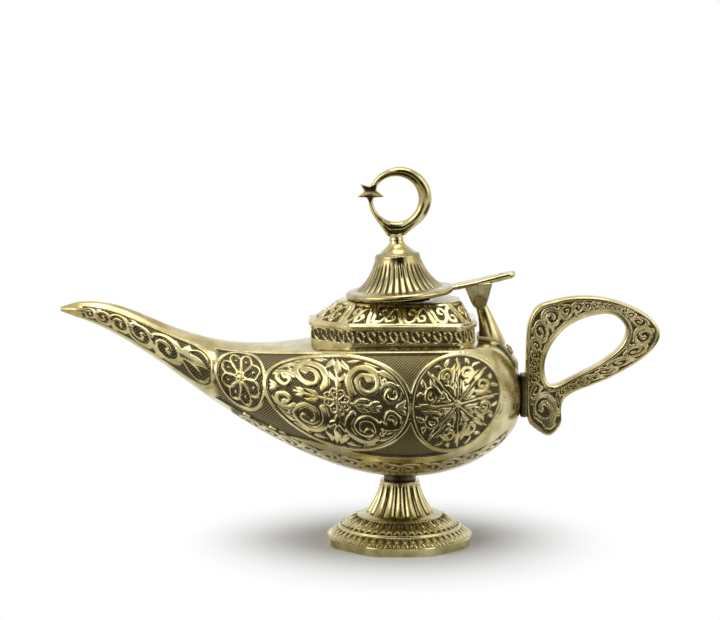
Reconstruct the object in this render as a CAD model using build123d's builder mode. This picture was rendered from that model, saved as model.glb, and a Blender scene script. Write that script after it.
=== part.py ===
from build123d import *
import os
from math import cos, hypot, radians, sin

os.makedirs("parts", exist_ok=True)

# Genie oil lamp in cast brass, in millimetres.
# The origin is on the resting plane under the foot's axis. The handle points to +X, the spout
# to -X, and +Z is up. The lamp is symmetric about the XZ plane.

# Foot: filed rim, two sloping tiers, fluted stem
foot_radius = 30.5
rim_height = 3.6
rim_flat_count = 8
rim_flat_depth = 0.9
lower_tier_radius = 25.4
lower_tier_height = 3.6
tier_step = 0.6
upper_tier_radius = 17.4
upper_tier_height = 4.4
stem_base_radius = 14.2
stem_waist_radius = 10.3
stem_top_radius = 8.4
stem_height = 13.1
stem_waist_share = 0.42
stem_lip = 1.4
foot_wall = 2.2
stem_web = 3.8
stem_flute_count = 20
stem_flute_radius = 1.1
stem_flute_depth = 0.55

# Neck ring and the bolt that ties foot, ring and hull
neck_radius = 6.7
neck_height = 3.5
bolt_radius = 2.5
bolt_clearance = 0.2
bolt_head_radius = 4.2
bolt_head_height = 3.0
bolt_washer_radius = 5.2
washer_thickness = 0.9
bolt_nut_height = 3.6
bolt_tail = 1.2
boss_radius = 6.4
boss_height = 2.0

# Hull and spout
spout_reach = 141.0
rear_reach = 50.0
belly_half_width = 40.5
hull_depth = 58.0
spout_rise = 15.0
hull_wall = 2.0
tip_wall = 0.9
deck_opening_radius = 17.0

# Collar: eight-sided, a straight lower tier, a projecting lip and a tapering upper tier
collar_spout_reach = 37.0
collar_rear_reach = 30.5
collar_half_width = 22.6
collar_spout_cut = (15.8, 13.0)
collar_rear_cut = (5.5, 8.5)
collar_top_spout_reach = 24.6
collar_top_rear_reach = 24.6
collar_top_half_width = 14.6
collar_top_spout_cut = (12.4, 8.4)
collar_top_rear_cut = (5.4, 8.0)
collar_lower_height = 6.4
collar_lip_height = 1.4
collar_lip_reach = 0.9
collar_upper_height = 8.2
collar_wall = 2.0
mouth_radius = 12.4

# Hinge
pivot_behind_collar = 2.2
pivot_below_rim = 0.5
pin_radius = 1.4
pin_clearance = 0.05
pin_head_radius = 2.2
pin_head_height = 1.2
pin_head_taper = 15.0
eye_radius = 2.9
eye_width = 4.4
ear_thickness = 2.2
ear_radius = 3.2
hinge_side_gap = 0.25
strap_thickness = 1.9
strap_half_width = 7.6
strap_end_half_width = 6.2
strap_end_inset = 1.2
strap_end_height = 22.6
bracket_gap = 1.0
post_top_length = 5.0
post_top_width = 4.4
post_mid_length = 7.2
post_mid_width = 7.2
post_mid_share = 0.4
post_foot_length = 11.5
post_foot_width = 16.0
post_lean = 4.8
rivet_radius = 1.2
rivet_head_radius = 2.1
rivet_head_height = 0.9
rivet_tail = 0.8
rivet_inset = 4.8
rivet_spread = 4.2
rivet_lean = (0.70, -0.30, 0.65)
rivet_head_taper = 12.0

# Lid: it rests a little ajar on the spout side of its rim
lid_tilt = 4.0
lid_gap = 0.1
flange_radius = 22.6
flange_thickness = 3.0
bell_base_radius = 18.0
bell_waist_radius = 13.2
bell_crown_radius = 9.2
bell_height = 14.2
bell_waist_share = 0.325
crown_ring_radius = 8.2
crown_ring_height = 0.6
lid_wall = 1.9
bell_flute_count = 36
bell_flute_radius = 0.5
bell_flute_depth = 0.4
bell_flute_span = (0.06, 0.4, 0.74)
lever_reach = 48.2
lever_thickness = 2.8
lever_rise = 4.2
lever_mid_rise = 1.7
lever_half_width = 4.8
lever_tip_radius = 3.5
lever_hole_radius = 0.9
lever_hole_inset = 6.0
ear_span = 12.2

# Finial: turned boss, crescent and star on a screwed neck
boss_dome_radius = 7.1
boss_dome_height = 5.3
boss_mid_share = 0.56
boss_foot_slope = (-0.6, 1.0)
boss_neck_slope = (-0.15, 1.0)
boss_neck_radius = 2.8
neck_rise = 3.9
neck_taper = 14.0
neck_half_width = 2.3
crescent_radius = 13.1
crescent_hole_radius = 9.4
crescent_hole_shift = 1.7
crescent_hole_drop = 0.2
crescent_offset = 1.4
crescent_thickness = 4.2
crescent_round_share = 0.4
star_inner_radius = 2.6
star_thickness = 2.8
star_angle = 168.0
star_inset = 0.6
# Turn and reach of each point of the hand-cut star
star_points = [(55.0, 5.4), (140.0, 5.5), (199.0, 5.7), (271.0, 5.6), (343.0, 6.1)]
shank_radius = 1.5
shank_clearance = 0.1
finial_washer_radius = 3.6
finial_nut_radius = 3.1
finial_nut_height = 2.4
shank_tail = 0.8

# Handle: loop with a drop tail, screwed through a pad to the rear of the hull
handle_reach = 55.7
handle_height = 58.3
handle_thickness = 7.0
handle_round = 1.2
pad_height_share = 0.29
pad_above_keel = 3.6
pad_depth = 2.1
pad_height = 15.4
pad_width = 7.0
screw_radius = 2.0
screw_clearance = 0.1
screw_depth = 8.0
screw_head_radius = 3.4
screw_head_height = 2.2
screw_head_taper = 20.0
screw_washer_radius = 4.2

# Heights that stack from the resting plane
tier_step_z = rim_height + lower_tier_height
upper_tier_z = tier_step_z + tier_step
stem_z = upper_tier_z + upper_tier_height
foot_top_z = stem_z + stem_height
keel_z = foot_top_z + neck_height
deck_z = keel_z + hull_depth
lip_z = deck_z + collar_lower_height
upper_collar_z = lip_z + collar_lip_height
collar_top_z = upper_collar_z + collar_upper_height
pivot = Vector(collar_rear_reach + pivot_behind_collar, 0, collar_top_z - pivot_below_rim)
lid_seat_z = collar_top_z + lid_gap + flange_radius * sin(radians(lid_tilt))
boss_top_z = keel_z + hull_wall + boss_height

# Stations of the hull from the spout's tip to the rear face: place along the spout (-) or the
# rear (+), top line as a share of the spout's rise above the deck, keel line as a share of the
# height from keel to spout top, share of the half width, and the edge between deck and flank
# as a share of that width and a drop as a share of the section's height.
hull_stations = [
    (-1.000, 0.905, 0.930, 0.046, 0.60, 0.22),
    (-0.936, 0.993, 0.899, 0.094, 0.60, 0.20),
    (-0.837, 0.907, 0.811, 0.165, 0.58, 0.18),
    (-0.723, 0.500, 0.674, 0.240, 0.56, 0.15),
    (-0.610, 0.100, 0.515, 0.345, 0.52, 0.11),
    (-0.468, -0.150, 0.329, 0.540, 0.46, 0.06),
    (-0.319, -0.137, 0.170, 0.765, 0.50, 0.035),
    (-0.156, -0.033, 0.047, 0.945, 0.69, 0.02),
    (0.080, 0.000, 0.000, 1.000, 0.74, 0.015),
    (0.440, 0.000, 0.038, 0.950, 0.74, 0.015),
    (0.680, -0.033, 0.105, 0.793, 0.69, 0.02),
    (0.840, -0.220, 0.185, 0.577, 0.62, 0.05),
    (0.950, -0.640, 0.265, 0.349, 0.60, 0.10),
    (1.000, -0.870, 0.305, 0.230, 0.60, 0.14),
]

# Chased panels along each flank: their fields and the belt around them are sunk, and their rims,
# rings, petals and bosses stay raised. A panel has its two ends as shares of the spout's (-) or the
# rear's (+) reach, its rings as place along, place up, outer and inner radius in shares of its half
# length, the count of its petals, and their place and size as shares of its field.
panel_depth = 0.6
panel_rim = 2.2
panel_margin = 0.03
belt_margin = 0.05
belt_ends = (-0.557, 0.885)
oval_points = 8
flank_panels = [
    ((-0.533, -0.396), [(0.0, 0.0, 0.22, 0)], 8, (0.50, 0.16)),
    (
        (-0.393, 0.080),
        [
            (0.0, 0.0, 0.150, 0),
            (0.313, 0.313, 0.274, 0.190),
            (-0.313, 0.313, 0.274, 0.190),
            (0.313, -0.313, 0.274, 0.190),
            (-0.313, -0.313, 0.274, 0.190),
            (0.695, 0.160, 0.138, 0.075),
            (-0.695, 0.160, 0.138, 0.075),
            (0.695, -0.160, 0.138, 0.075),
            (-0.695, -0.160, 0.138, 0.075),
        ],
        0,
        (0, 0),
    ),
    ((0.092, 0.844), [(0.0, 0.0, 0.13, 0)], 8, (0.60, 0.17)),
]

# Shape of a hull section: the beam is its widest point, the band is where the underside starts
beam_share = 0.50
band_width_share = 0.80
band_height_share = 0.215


def hull_lines(station, skin):
    """Place, top, keel and half width of a station, grown outwards by skin."""
    along, top_share, keel_share, width_share, edge_share, drop_share = station
    x = along * (spout_reach if along < 0 else rear_reach)
    top = deck_z + top_share * spout_rise + skin
    keel = keel_z + keel_share * (hull_depth + spout_rise) - skin
    half_width = width_share * belly_half_width + skin
    return x, top, keel, half_width, edge_share * half_width, drop_share * (top - keel)


def flank_points(station, skin):
    """Shoulder, beam and band of a station's flank, at Y <= 0."""
    _, top, keel, half_width, edge, drop = hull_lines(station, skin)
    height = top - keel
    shoulder = (-edge, top - drop)
    beam = (-half_width, keel + beam_share * height)
    band = (-band_width_share * half_width, keel + band_height_share * height)
    return shoulder, beam, band


def half_hull(tip_skin, belly_skin, tip_shift, rear_shift):
    """Half of the hull at Y <= 0, grown by a skin that changes from the tip to the belly."""
    with BuildPart() as half:
        for station in hull_stations:
            width_share = station[3]
            skin = tip_skin + (belly_skin - tip_skin) * width_share
            x, top, keel, _, _, _ = hull_lines(station, skin)
            shoulder, beam, band = flank_points(station, skin)
            if station is hull_stations[0]:
                x -= tip_shift
            if station is hull_stations[-1]:
                x += rear_shift
            with BuildSketch(Plane.YZ.offset(x)):
                with BuildLine():
                    TangentArc((0, top), shoulder, tangent=(-1, 0))
                    ThreePointArc(shoulder, beam, band)
                    TangentArc((0, keel), band, tangent=(-1, 0))
                    Line((0, keel), (0, top))
                make_face()
        loft()
    return half.part


# Place and flank arc of each station
flank_arcs = []
for station in hull_stations:
    flank_arc = ThreePointArc(*flank_points(station, 0), mode=Mode.PRIVATE)
    flank_arcs.append((hull_lines(station, 0)[0], flank_arc))


def on_flank(x, measure):
    """Value of a measure of the flank's arc at a place between two stations."""
    for (low_x, low_arc), (high_x, high_arc) in zip(flank_arcs, flank_arcs[1:]):
        if low_x <= x <= high_x:
            share = (x - low_x) / (high_x - low_x)
            return (1 - share) * measure(low_arc) + share * measure(high_arc)
    return 0.0


def flank_place(x, share):
    """Point of the flank in the XZ plane: share runs from 0 on the shoulder to 1 on the band."""
    return x, on_flank(x, lambda arc: (arc @ share).Y)


def along_hull(share):
    """Place along the hull from a share of the spout's (-) or the rear's (+) reach."""
    return share * (spout_reach if share < 0 else rear_reach)


def panel_ovals(ends, rings, petal_count, petal):
    """Outlines of one panel in the order they are drawn, each with its mode in the sunk sketch."""
    start, end = (along_hull(share) for share in ends)
    middle = (start + end) / 2
    half_length = (end - start) / 2
    half_height = (0.5 - panel_margin) * on_flank(middle, lambda arc: arc.length)
    field = half_length - panel_rim
    stretch = (half_height - panel_rim) / field

    def oval(along, up, half_width, half_rise):
        """Points of an oval on the flank, its place and half sizes from the panel's middle."""
        points = []
        for number in range(oval_points):
            angle = radians(360 * number / oval_points)
            x = middle + along + half_width * cos(angle)
            rise = (up + half_rise * sin(angle)) / half_height
            points.append(flank_place(x, 0.5 - (0.5 - panel_margin) * rise))
        return points

    ovals = [
        (oval(0, 0, half_length, half_height), Mode.SUBTRACT),
        (oval(0, 0, field, stretch * field), Mode.ADD),
    ]
    petal_place, petal_size = (share * field for share in petal)
    for number in range(petal_count):
        turn = radians(360 * (number + 0.5) / petal_count)
        along = petal_place * cos(turn)
        up = stretch * petal_place * sin(turn)
        ovals.append((oval(along, up, petal_size, stretch * petal_size), Mode.SUBTRACT))
    for ring in rings:
        along, up, outer, inner = (share * half_length for share in ring)
        ovals.append((oval(along, up, outer, outer), Mode.SUBTRACT))
        if inner:
            ovals.append((oval(along, up, inner, inner), Mode.ADD))
    return ovals


hull_front = half_hull(0, 0, 0, 0)
hull_back = mirror(hull_front, about=Plane.XZ)
cavity_front = half_hull(-tip_wall, -hull_wall, tip_wall, -hull_wall)
skin_front = half_hull(strap_thickness, strap_thickness, strap_thickness, strap_thickness)
skin_back = mirror(skin_front, about=Plane.XZ)
rear_low_z = hull_lines(hull_stations[-1], 0)[2]


def arc_flute(start, middle, end, radius, depth, plane):
    """Round cutter that runs along an arc of a profile and bites depth into it."""
    with BuildPart() as cutter:
        with BuildLine(plane) as path:
            ThreePointArc(start, middle, end)
        lift = path.line % 0
        with BuildSketch(Plane(path.line @ 0, z_dir=lift)):
            Circle(radius)
        sweep(path=path.line)
    outwards = plane.x_dir * (radius - depth)
    return cutter.part.moved(Location(outwards))


# Foot
stem_arc = (
    (stem_base_radius, stem_z + stem_lip),
    (stem_waist_radius, stem_z + stem_waist_share * stem_height),
    (stem_top_radius, foot_top_z - stem_lip),
)
stem_flute = arc_flute(*stem_arc, stem_flute_radius, stem_flute_depth, Plane.XZ)
with BuildPart() as foot:
    with BuildSketch(Plane.XZ):
        with BuildLine():
            Polyline(
                (foot_radius - foot_wall, 0),
                (foot_radius, 0),
                (foot_radius, rim_height),
                (lower_tier_radius, tier_step_z),
                (lower_tier_radius, upper_tier_z),
                (upper_tier_radius, stem_z),
                stem_arc[0],
            )
            ThreePointArc(*stem_arc)
            Polyline(
                stem_arc[2],
                (stem_top_radius, foot_top_z),
                (bolt_radius + bolt_clearance, foot_top_z),
                (bolt_radius + bolt_clearance, foot_top_z - stem_web),
                (stem_top_radius - foot_wall, foot_top_z - stem_web),
                (stem_waist_radius - foot_wall, stem_arc[1][1]),
                (stem_base_radius - foot_wall, stem_z - foot_wall / 2),
                (lower_tier_radius - foot_wall, tier_step_z - foot_wall),
                (foot_radius - foot_wall, rim_height - foot_wall),
                (foot_radius - foot_wall, 0),
            )
        make_face()
    revolve(axis=Axis.Z)
    with BuildSketch(Plane.XY):
        Circle(foot_radius + rim_flat_depth)
        RegularPolygon(
            radius=foot_radius - rim_flat_depth,
            side_count=rim_flat_count,
            major_radius=False,
            rotation=180 / rim_flat_count,
            mode=Mode.SUBTRACT,
        )
    extrude(amount=rim_height, mode=Mode.SUBTRACT)
    with PolarLocations(0, stem_flute_count):
        add(stem_flute, mode=Mode.SUBTRACT)
foot.part.label = "foot"

# Ring between the stem and the hull, its top cut to the hull
with BuildPart() as neck_ring:
    with BuildSketch(Plane.XY.offset(foot_top_z)):
        Circle(neck_radius)
        Circle(bolt_radius + bolt_clearance, mode=Mode.SUBTRACT)
    extrude(amount=neck_height + hull_wall)
    add(hull_front, mode=Mode.SUBTRACT)
    add(hull_back, mode=Mode.SUBTRACT)
neck_ring.part.label = "neck_ring"

# Foot bolt with its head inside the hull, and the nut under the stem
foot_nut_z = foot_top_z - stem_web - washer_thickness - bolt_nut_height
bolt_head_z = boss_top_z + washer_thickness
with BuildPart() as foot_bolt:
    with BuildSketch(Plane.XY.offset(foot_nut_z - bolt_tail)):
        Circle(bolt_radius)
    extrude(amount=bolt_head_z - foot_nut_z + bolt_tail)
    with BuildSketch(Plane.XY.offset(bolt_head_z)):
        RegularPolygon(radius=bolt_head_radius, side_count=6)
    extrude(amount=bolt_head_height)
foot_bolt.part.label = "foot_bolt"

with BuildPart() as foot_bolt_washer:
    with BuildSketch(Plane.XY.offset(boss_top_z)):
        Circle(bolt_washer_radius)
        Circle(bolt_radius + bolt_clearance, mode=Mode.SUBTRACT)
    extrude(amount=washer_thickness)
foot_bolt_washer.part.label = "foot_bolt_washer"

with BuildPart() as foot_washer:
    with BuildSketch(Plane.XY.offset(foot_top_z - stem_web)):
        Circle(bolt_washer_radius)
        Circle(bolt_radius + bolt_clearance, mode=Mode.SUBTRACT)
    extrude(amount=-washer_thickness)
foot_washer.part.label = "foot_washer"

with BuildPart() as foot_nut:
    with BuildSketch(Plane.XY.offset(foot_nut_z)):
        RegularPolygon(radius=bolt_head_radius, side_count=6)
        Circle(bolt_radius, mode=Mode.SUBTRACT)
    extrude(amount=bolt_nut_height)
foot_nut.part.label = "foot_nut"

# Hull halves with the bolt's boss, the deck opening and the screw hole in the rear wall
pad_z = rear_low_z + pad_above_keel + pad_height / 2
rear_wall_x = rear_reach - hull_wall
rivet_x = rear_reach - rivet_inset


def hull_top_at(x, y, skin):
    """Height of the grown hull's crown at a place between two stations."""
    for low, high in zip(hull_stations, hull_stations[1:]):
        low_lines = hull_lines(low, skin)
        high_lines = hull_lines(high, skin)
        if low_lines[0] <= x <= high_lines[0]:
            share = (x - low_lines[0]) / (high_lines[0] - low_lines[0])
            lines = [a + share * (b - a) for a, b in zip(low_lines, high_lines)]
            top, edge, drop = lines[1], lines[4], lines[5]
            radius = (edge**2 + drop**2) / (2 * drop)
            return top - radius + (radius**2 - y**2) ** 0.5
    return deck_z


rivet_point = Vector(rivet_x, -rivet_spread, hull_top_at(rivet_x, rivet_spread, strap_thickness))
rivet_plane = Plane(rivet_point, z_dir=rivet_lean)
rivet_length = strap_thickness + hull_wall + rivet_tail
with BuildPart() as rivet_shank:
    with BuildSketch(rivet_plane):
        Circle(rivet_radius)
    extrude(amount=-rivet_length)

# Cutter for the sunk fields of one flank
sunk_hull = half_hull(-panel_depth, -panel_depth, 0, 0)
belt_start, belt_end = (along_hull(share) for share in belt_ends)
belt_places = [x for x, _ in flank_arcs if belt_start < x < belt_end]
belt_top = [flank_place(x, belt_margin) for x in (belt_start, *belt_places, belt_end)]
belt_foot = [flank_place(x, 1 - belt_margin) for x in (belt_start, *belt_places, belt_end)]
with BuildPart() as panel_cutter:
    with BuildSketch(Plane.XZ):
        with BuildLine():
            Spline(*belt_top)
            Line(belt_top[-1], belt_foot[-1])
            Spline(*belt_foot)
            Line(belt_top[0], belt_foot[0])
        make_face()
        for panel in flank_panels:
            for points, mode in panel_ovals(*panel):
                with BuildLine():
                    Spline(*points, periodic=True)
                make_face(mode=mode)
    extrude(amount=belly_half_width + hull_wall)
    add(sunk_hull, mode=Mode.SUBTRACT)

with BuildPart() as reservoir_half:
    add(cavity_front)
    with BuildSketch(Plane.XY.offset(keel_z)):
        Circle(boss_radius)
    extrude(amount=boss_top_z - keel_z, mode=Mode.SUBTRACT)

with BuildPart() as body_front_half:
    add(hull_front)
    add(panel_cutter.part, mode=Mode.SUBTRACT)
    add(reservoir_half.part, mode=Mode.SUBTRACT)
    with BuildSketch(Plane.XY.offset(keel_z - hull_wall)):
        Circle(bolt_radius + bolt_clearance)
    extrude(amount=boss_top_z - keel_z + 2 * hull_wall, mode=Mode.SUBTRACT)
    with BuildSketch(Plane.XY.offset(deck_z + hull_wall)):
        Circle(deck_opening_radius)
    extrude(amount=-3 * hull_wall, mode=Mode.SUBTRACT)
    with BuildSketch(Plane.YZ.offset(rear_wall_x - hull_wall)):
        with Locations((0, pad_z)):
            Circle(screw_radius + screw_clearance)
    extrude(amount=3 * hull_wall, mode=Mode.SUBTRACT)
    add(rivet_shank.part, mode=Mode.SUBTRACT)
body_front_half.part.label = "body_front_half"

with BuildPart() as body_back_half:
    mirror(body_front_half.part, about=Plane.XZ)
body_back_half.part.label = "body_back_half"


def collar_plan(spout_end, rear_end, half_width, spout_cut, rear_cut, grow):
    """Corners of an eight-sided collar outline, grown outwards by grow."""
    near = [
        (rear_end + grow, -(half_width - rear_cut[1])),
        (rear_end - rear_cut[0], -(half_width + grow)),
        (-(spout_end - spout_cut[0]), -(half_width + grow)),
        (-(spout_end + grow), -(half_width - spout_cut[1])),
    ]
    far = [(x, -y) for x, y in reversed(near)]
    return near + far


lower_plan = (collar_spout_reach, collar_rear_reach, collar_half_width, collar_spout_cut, collar_rear_cut)
top_plan = (
    collar_top_spout_reach,
    collar_top_rear_reach,
    collar_top_half_width,
    collar_top_spout_cut,
    collar_top_rear_cut,
)
collar_bed = 2 * hull_wall

# Collar, its lower edge cut to the deck
with BuildPart() as collar:
    with BuildSketch(Plane.XY.offset(deck_z - collar_bed)):
        Polygon(*collar_plan(*lower_plan, 0), align=None)
    extrude(amount=collar_bed + collar_lower_height)
    with BuildSketch(Plane.XY.offset(lip_z)):
        Polygon(*collar_plan(*lower_plan, collar_lip_reach), align=None)
    extrude(amount=collar_lip_height)
    with BuildSketch(Plane.XY.offset(upper_collar_z)):
        Polygon(*collar_plan(*lower_plan, -collar_lip_reach), align=None)
    with BuildSketch(Plane.XY.offset(collar_top_z)):
        Polygon(*collar_plan(*top_plan, 0), align=None)
    loft(ruled=True)
    with BuildSketch(Plane.XY.offset(deck_z - collar_bed)):
        Polygon(*collar_plan(*lower_plan, -collar_wall), align=None)
    extrude(amount=collar_bed + collar_lower_height, mode=Mode.SUBTRACT)
    with BuildSketch(Plane.XY.offset(lip_z)):
        Polygon(*collar_plan(*lower_plan, -collar_wall - collar_lip_reach), align=None)
    with BuildSketch(Plane.XY.offset(collar_top_z - collar_wall)):
        Polygon(*collar_plan(*top_plan, -collar_wall), align=None)
    loft(ruled=True, mode=Mode.SUBTRACT)
    with BuildSketch(Plane.XY.offset(collar_top_z)):
        Circle(mouth_radius)
    extrude(amount=-2 * collar_wall, mode=Mode.SUBTRACT)
    add(hull_front, mode=Mode.SUBTRACT)
    add(hull_back, mode=Mode.SUBTRACT)
collar.part.label = "collar"

# Hinge bracket: a strap over the rear ridge, and a post that leans forward to the pin's eye
strap_start_x = collar_rear_reach + collar_lip_reach + bracket_gap
strap_end_x = rear_reach - strap_end_inset
post_x = strap_start_x + post_foot_length / 2
with BuildPart() as hinge_bracket:
    add(skin_front)
    add(skin_back)
    with BuildSketch(Plane.XY.offset(rear_low_z + strap_end_height)):
        Polygon(
            (strap_start_x, -strap_half_width),
            (strap_end_x, -strap_end_half_width),
            (strap_end_x, strap_end_half_width),
            (strap_start_x, strap_half_width),
            align=None,
        )
    extrude(amount=hull_depth, mode=Mode.INTERSECT)
    with BuildSketch(Plane.XY.offset(deck_z - hull_wall)):
        with Locations((post_x, 0)):
            Ellipse(post_foot_length / 2, post_foot_width / 2)
    with BuildSketch(Plane.XY.offset(deck_z + post_mid_share * (pivot.Z - deck_z))):
        with Locations((post_x - post_mid_share * post_lean, 0)):
            Ellipse(post_mid_length / 2, post_mid_width / 2)
    with BuildSketch(Plane.XY.offset(pivot.Z - eye_radius / 2)):
        with Locations((post_x - post_lean, 0)):
            Ellipse(post_top_length / 2, post_top_width / 2)
    loft()
    with BuildSketch(Plane.XZ.offset(-eye_width / 2)):
        with Locations((pivot.X, pivot.Z)):
            Circle(eye_radius)
    extrude(amount=eye_width)
    with BuildSketch(Plane.XZ.offset(-eye_width / 2)):
        with Locations((pivot.X, pivot.Z)):
            Circle(pin_radius)
    extrude(amount=eye_width, mode=Mode.SUBTRACT)
    add(hull_front, mode=Mode.SUBTRACT)
    add(hull_back, mode=Mode.SUBTRACT)
    add(rivet_shank.part, mode=Mode.SUBTRACT)
    add(mirror(rivet_shank.part, about=Plane.XZ, mode=Mode.PRIVATE), mode=Mode.SUBTRACT)
hinge_bracket.part.label = "hinge_bracket"

# Two rivets through the strap, their heads cut to the strap and the post
with BuildPart() as bracket_rivets:
    with BuildSketch(rivet_plane.offset(-strap_thickness)):
        Circle(rivet_head_radius)
    extrude(amount=strap_thickness + rivet_head_height, taper=rivet_head_taper)
    add(skin_front, mode=Mode.SUBTRACT)
    add(hinge_bracket.part, mode=Mode.SUBTRACT)
    add(rivet_shank.part)
    mirror(about=Plane.XZ)
bracket_rivets.part.label = "bracket_rivets"

# Hinge pin with two peened heads
ear_inside = eye_width / 2 + hinge_side_gap
ear_outside = ear_inside + ear_thickness
with BuildPart() as hinge_pin:
    with BuildSketch(Plane.XZ):
        with Locations((pivot.X, pivot.Z)):
            Circle(pin_radius)
    extrude(amount=ear_outside + hinge_side_gap, both=True)
    with BuildSketch(Plane.XZ.offset(ear_outside + hinge_side_gap)):
        with Locations((pivot.X, pivot.Z)):
            Circle(pin_head_radius)
    extrude(amount=pin_head_height, taper=pin_head_taper)
    with BuildSketch(Plane.XZ.offset(-ear_outside - hinge_side_gap)):
        with Locations((pivot.X, pivot.Z)):
            Circle(pin_head_radius)
    extrude(amount=-pin_head_height, taper=pin_head_taper)
hinge_pin.part.label = "hinge_pin"

# Lid frame: its own axis leans with the tilt, and its section plane faces -Y
tilt_cos = cos(radians(lid_tilt))
tilt_sin = sin(radians(lid_tilt))
lid_seat = Plane((0, 0, lid_seat_z), x_dir=(tilt_cos, 0, tilt_sin), z_dir=(-tilt_sin, 0, tilt_cos))
lid_section = Plane(lid_seat.origin, x_dir=lid_seat.x_dir, z_dir=(0, -1, 0))
lid_axis = Axis(lid_seat.origin, lid_seat.z_dir)
pivot_in_lid = lid_section.to_local_coords(pivot)
bell_top = flange_thickness + bell_height
crown_top = bell_top + crown_ring_height
crown_floor = crown_top - lid_wall
bell_arc = (
    (bell_base_radius, flange_thickness),
    (bell_waist_radius, flange_thickness + bell_waist_share * bell_height),
    (bell_crown_radius, bell_top),
)
bell_line = ThreePointArc(*bell_arc, mode=Mode.PRIVATE)
flute_arc = [((bell_line @ share).X, (bell_line @ share).Y) for share in bell_flute_span]
bell_flute = arc_flute(*flute_arc, bell_flute_radius, bell_flute_depth, lid_section)
lever_root = flange_radius - 2 * flange_thickness

# Thumb lever: a strip that rises from the flange and ends round, with a small hole for a chain
with BuildPart() as lever:
    with BuildSketch(lid_section):
        with BuildLine():
            ThreePointArc((lever_root, 0), (pivot_in_lid.X, lever_mid_rise), (lever_reach, lever_rise))
            Line((lever_reach, lever_rise), (lever_reach, lever_rise + lever_thickness))
            ThreePointArc(
                (lever_reach, lever_rise + lever_thickness),
                (pivot_in_lid.X, lever_mid_rise + lever_thickness),
                (lever_root, lever_thickness),
            )
            Line((lever_root, lever_thickness), (lever_root, 0))
        make_face()
    extrude(amount=lever_half_width, both=True)
    with BuildSketch(lid_seat):
        with BuildLine():
            round_x = lever_reach - lever_tip_radius
            Polyline(
                (round_x, -lever_tip_radius),
                (pivot_in_lid.X, -lever_half_width),
                (lever_root, -lever_half_width),
                (lever_root, lever_half_width),
                (pivot_in_lid.X, lever_half_width),
                (round_x, lever_tip_radius),
            )
            ThreePointArc((round_x, lever_tip_radius), (lever_reach, 0), (round_x, -lever_tip_radius))
        make_face()
        with Locations((lever_reach - lever_hole_inset, 0)):
            Circle(lever_hole_radius, mode=Mode.SUBTRACT)
    extrude(amount=lever_rise + 2 * lever_thickness, mode=Mode.INTERSECT)

# Ears that hang from the lever on both sides of the bracket's eye
with BuildPart() as ears:
    with BuildSketch(lid_section):
        with BuildLine():
            ear_top = lever_mid_rise + lever_thickness / 2
            Line((pivot_in_lid.X - ear_span / 2, ear_top), (pivot_in_lid.X + ear_span / 2, ear_top))
            CenterArc((pivot_in_lid.X, pivot_in_lid.Y), ear_radius, 0, 360)
        make_hull()
        with Locations((pivot_in_lid.X, pivot_in_lid.Y)):
            Circle(pin_radius + pin_clearance, mode=Mode.SUBTRACT)
    extrude(amount=ear_outside, both=True)
    with BuildSketch(Plane.XZ.offset(-ear_inside)):
        with Locations((pivot.X, pivot.Z)):
            Circle(ear_span + ear_radius)
    extrude(amount=2 * ear_inside, mode=Mode.SUBTRACT)

# Lid: fluted bell, flange, thumb lever and two ears in one casting
with BuildPart() as lid:
    with BuildSketch(lid_section):
        with BuildLine():
            Polyline(
                (bell_base_radius - lid_wall, 0),
                (flange_radius, 0),
                (flange_radius, flange_thickness),
                bell_arc[0],
            )
            ThreePointArc(*bell_arc)
            Polyline(
                bell_arc[2],
                (crown_ring_radius, bell_top),
                (crown_ring_radius, crown_top),
                (shank_radius + shank_clearance, crown_top),
                (shank_radius + shank_clearance, crown_floor),
                (bell_crown_radius - lid_wall, crown_floor),
            )
            ThreePointArc(
                (bell_crown_radius - lid_wall, crown_floor),
                (bell_waist_radius - lid_wall, bell_arc[1][1]),
                (bell_base_radius - lid_wall, 0),
            )
        make_face()
    revolve(axis=lid_axis)
    with Locations(Location(lid_seat)):
        with PolarLocations(0, bell_flute_count):
            add(bell_flute.moved(Location(lid_seat).inverse()), mode=Mode.SUBTRACT)
    add(lever.part)
    add(ears.part)
lid.part.label = "lid"

# Turned boss on the lid's crown
boss_top = crown_top + boss_dome_height
with BuildPart() as finial_boss:
    with BuildSketch(lid_section):
        with BuildLine():
            Spline(
                (boss_dome_radius, crown_top),
                (boss_mid_share * boss_dome_radius, crown_top + boss_mid_share * boss_dome_height),
                (boss_neck_radius, boss_top),
                tangents=[boss_foot_slope, boss_neck_slope],
            )
            Polyline(
                (boss_neck_radius, boss_top),
                (shank_radius + shank_clearance, boss_top),
                (shank_radius + shank_clearance, crown_top),
                (boss_dome_radius, crown_top),
            )
        make_face()
    revolve(axis=lid_axis)
finial_boss.part.label = "finial_boss"

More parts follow.
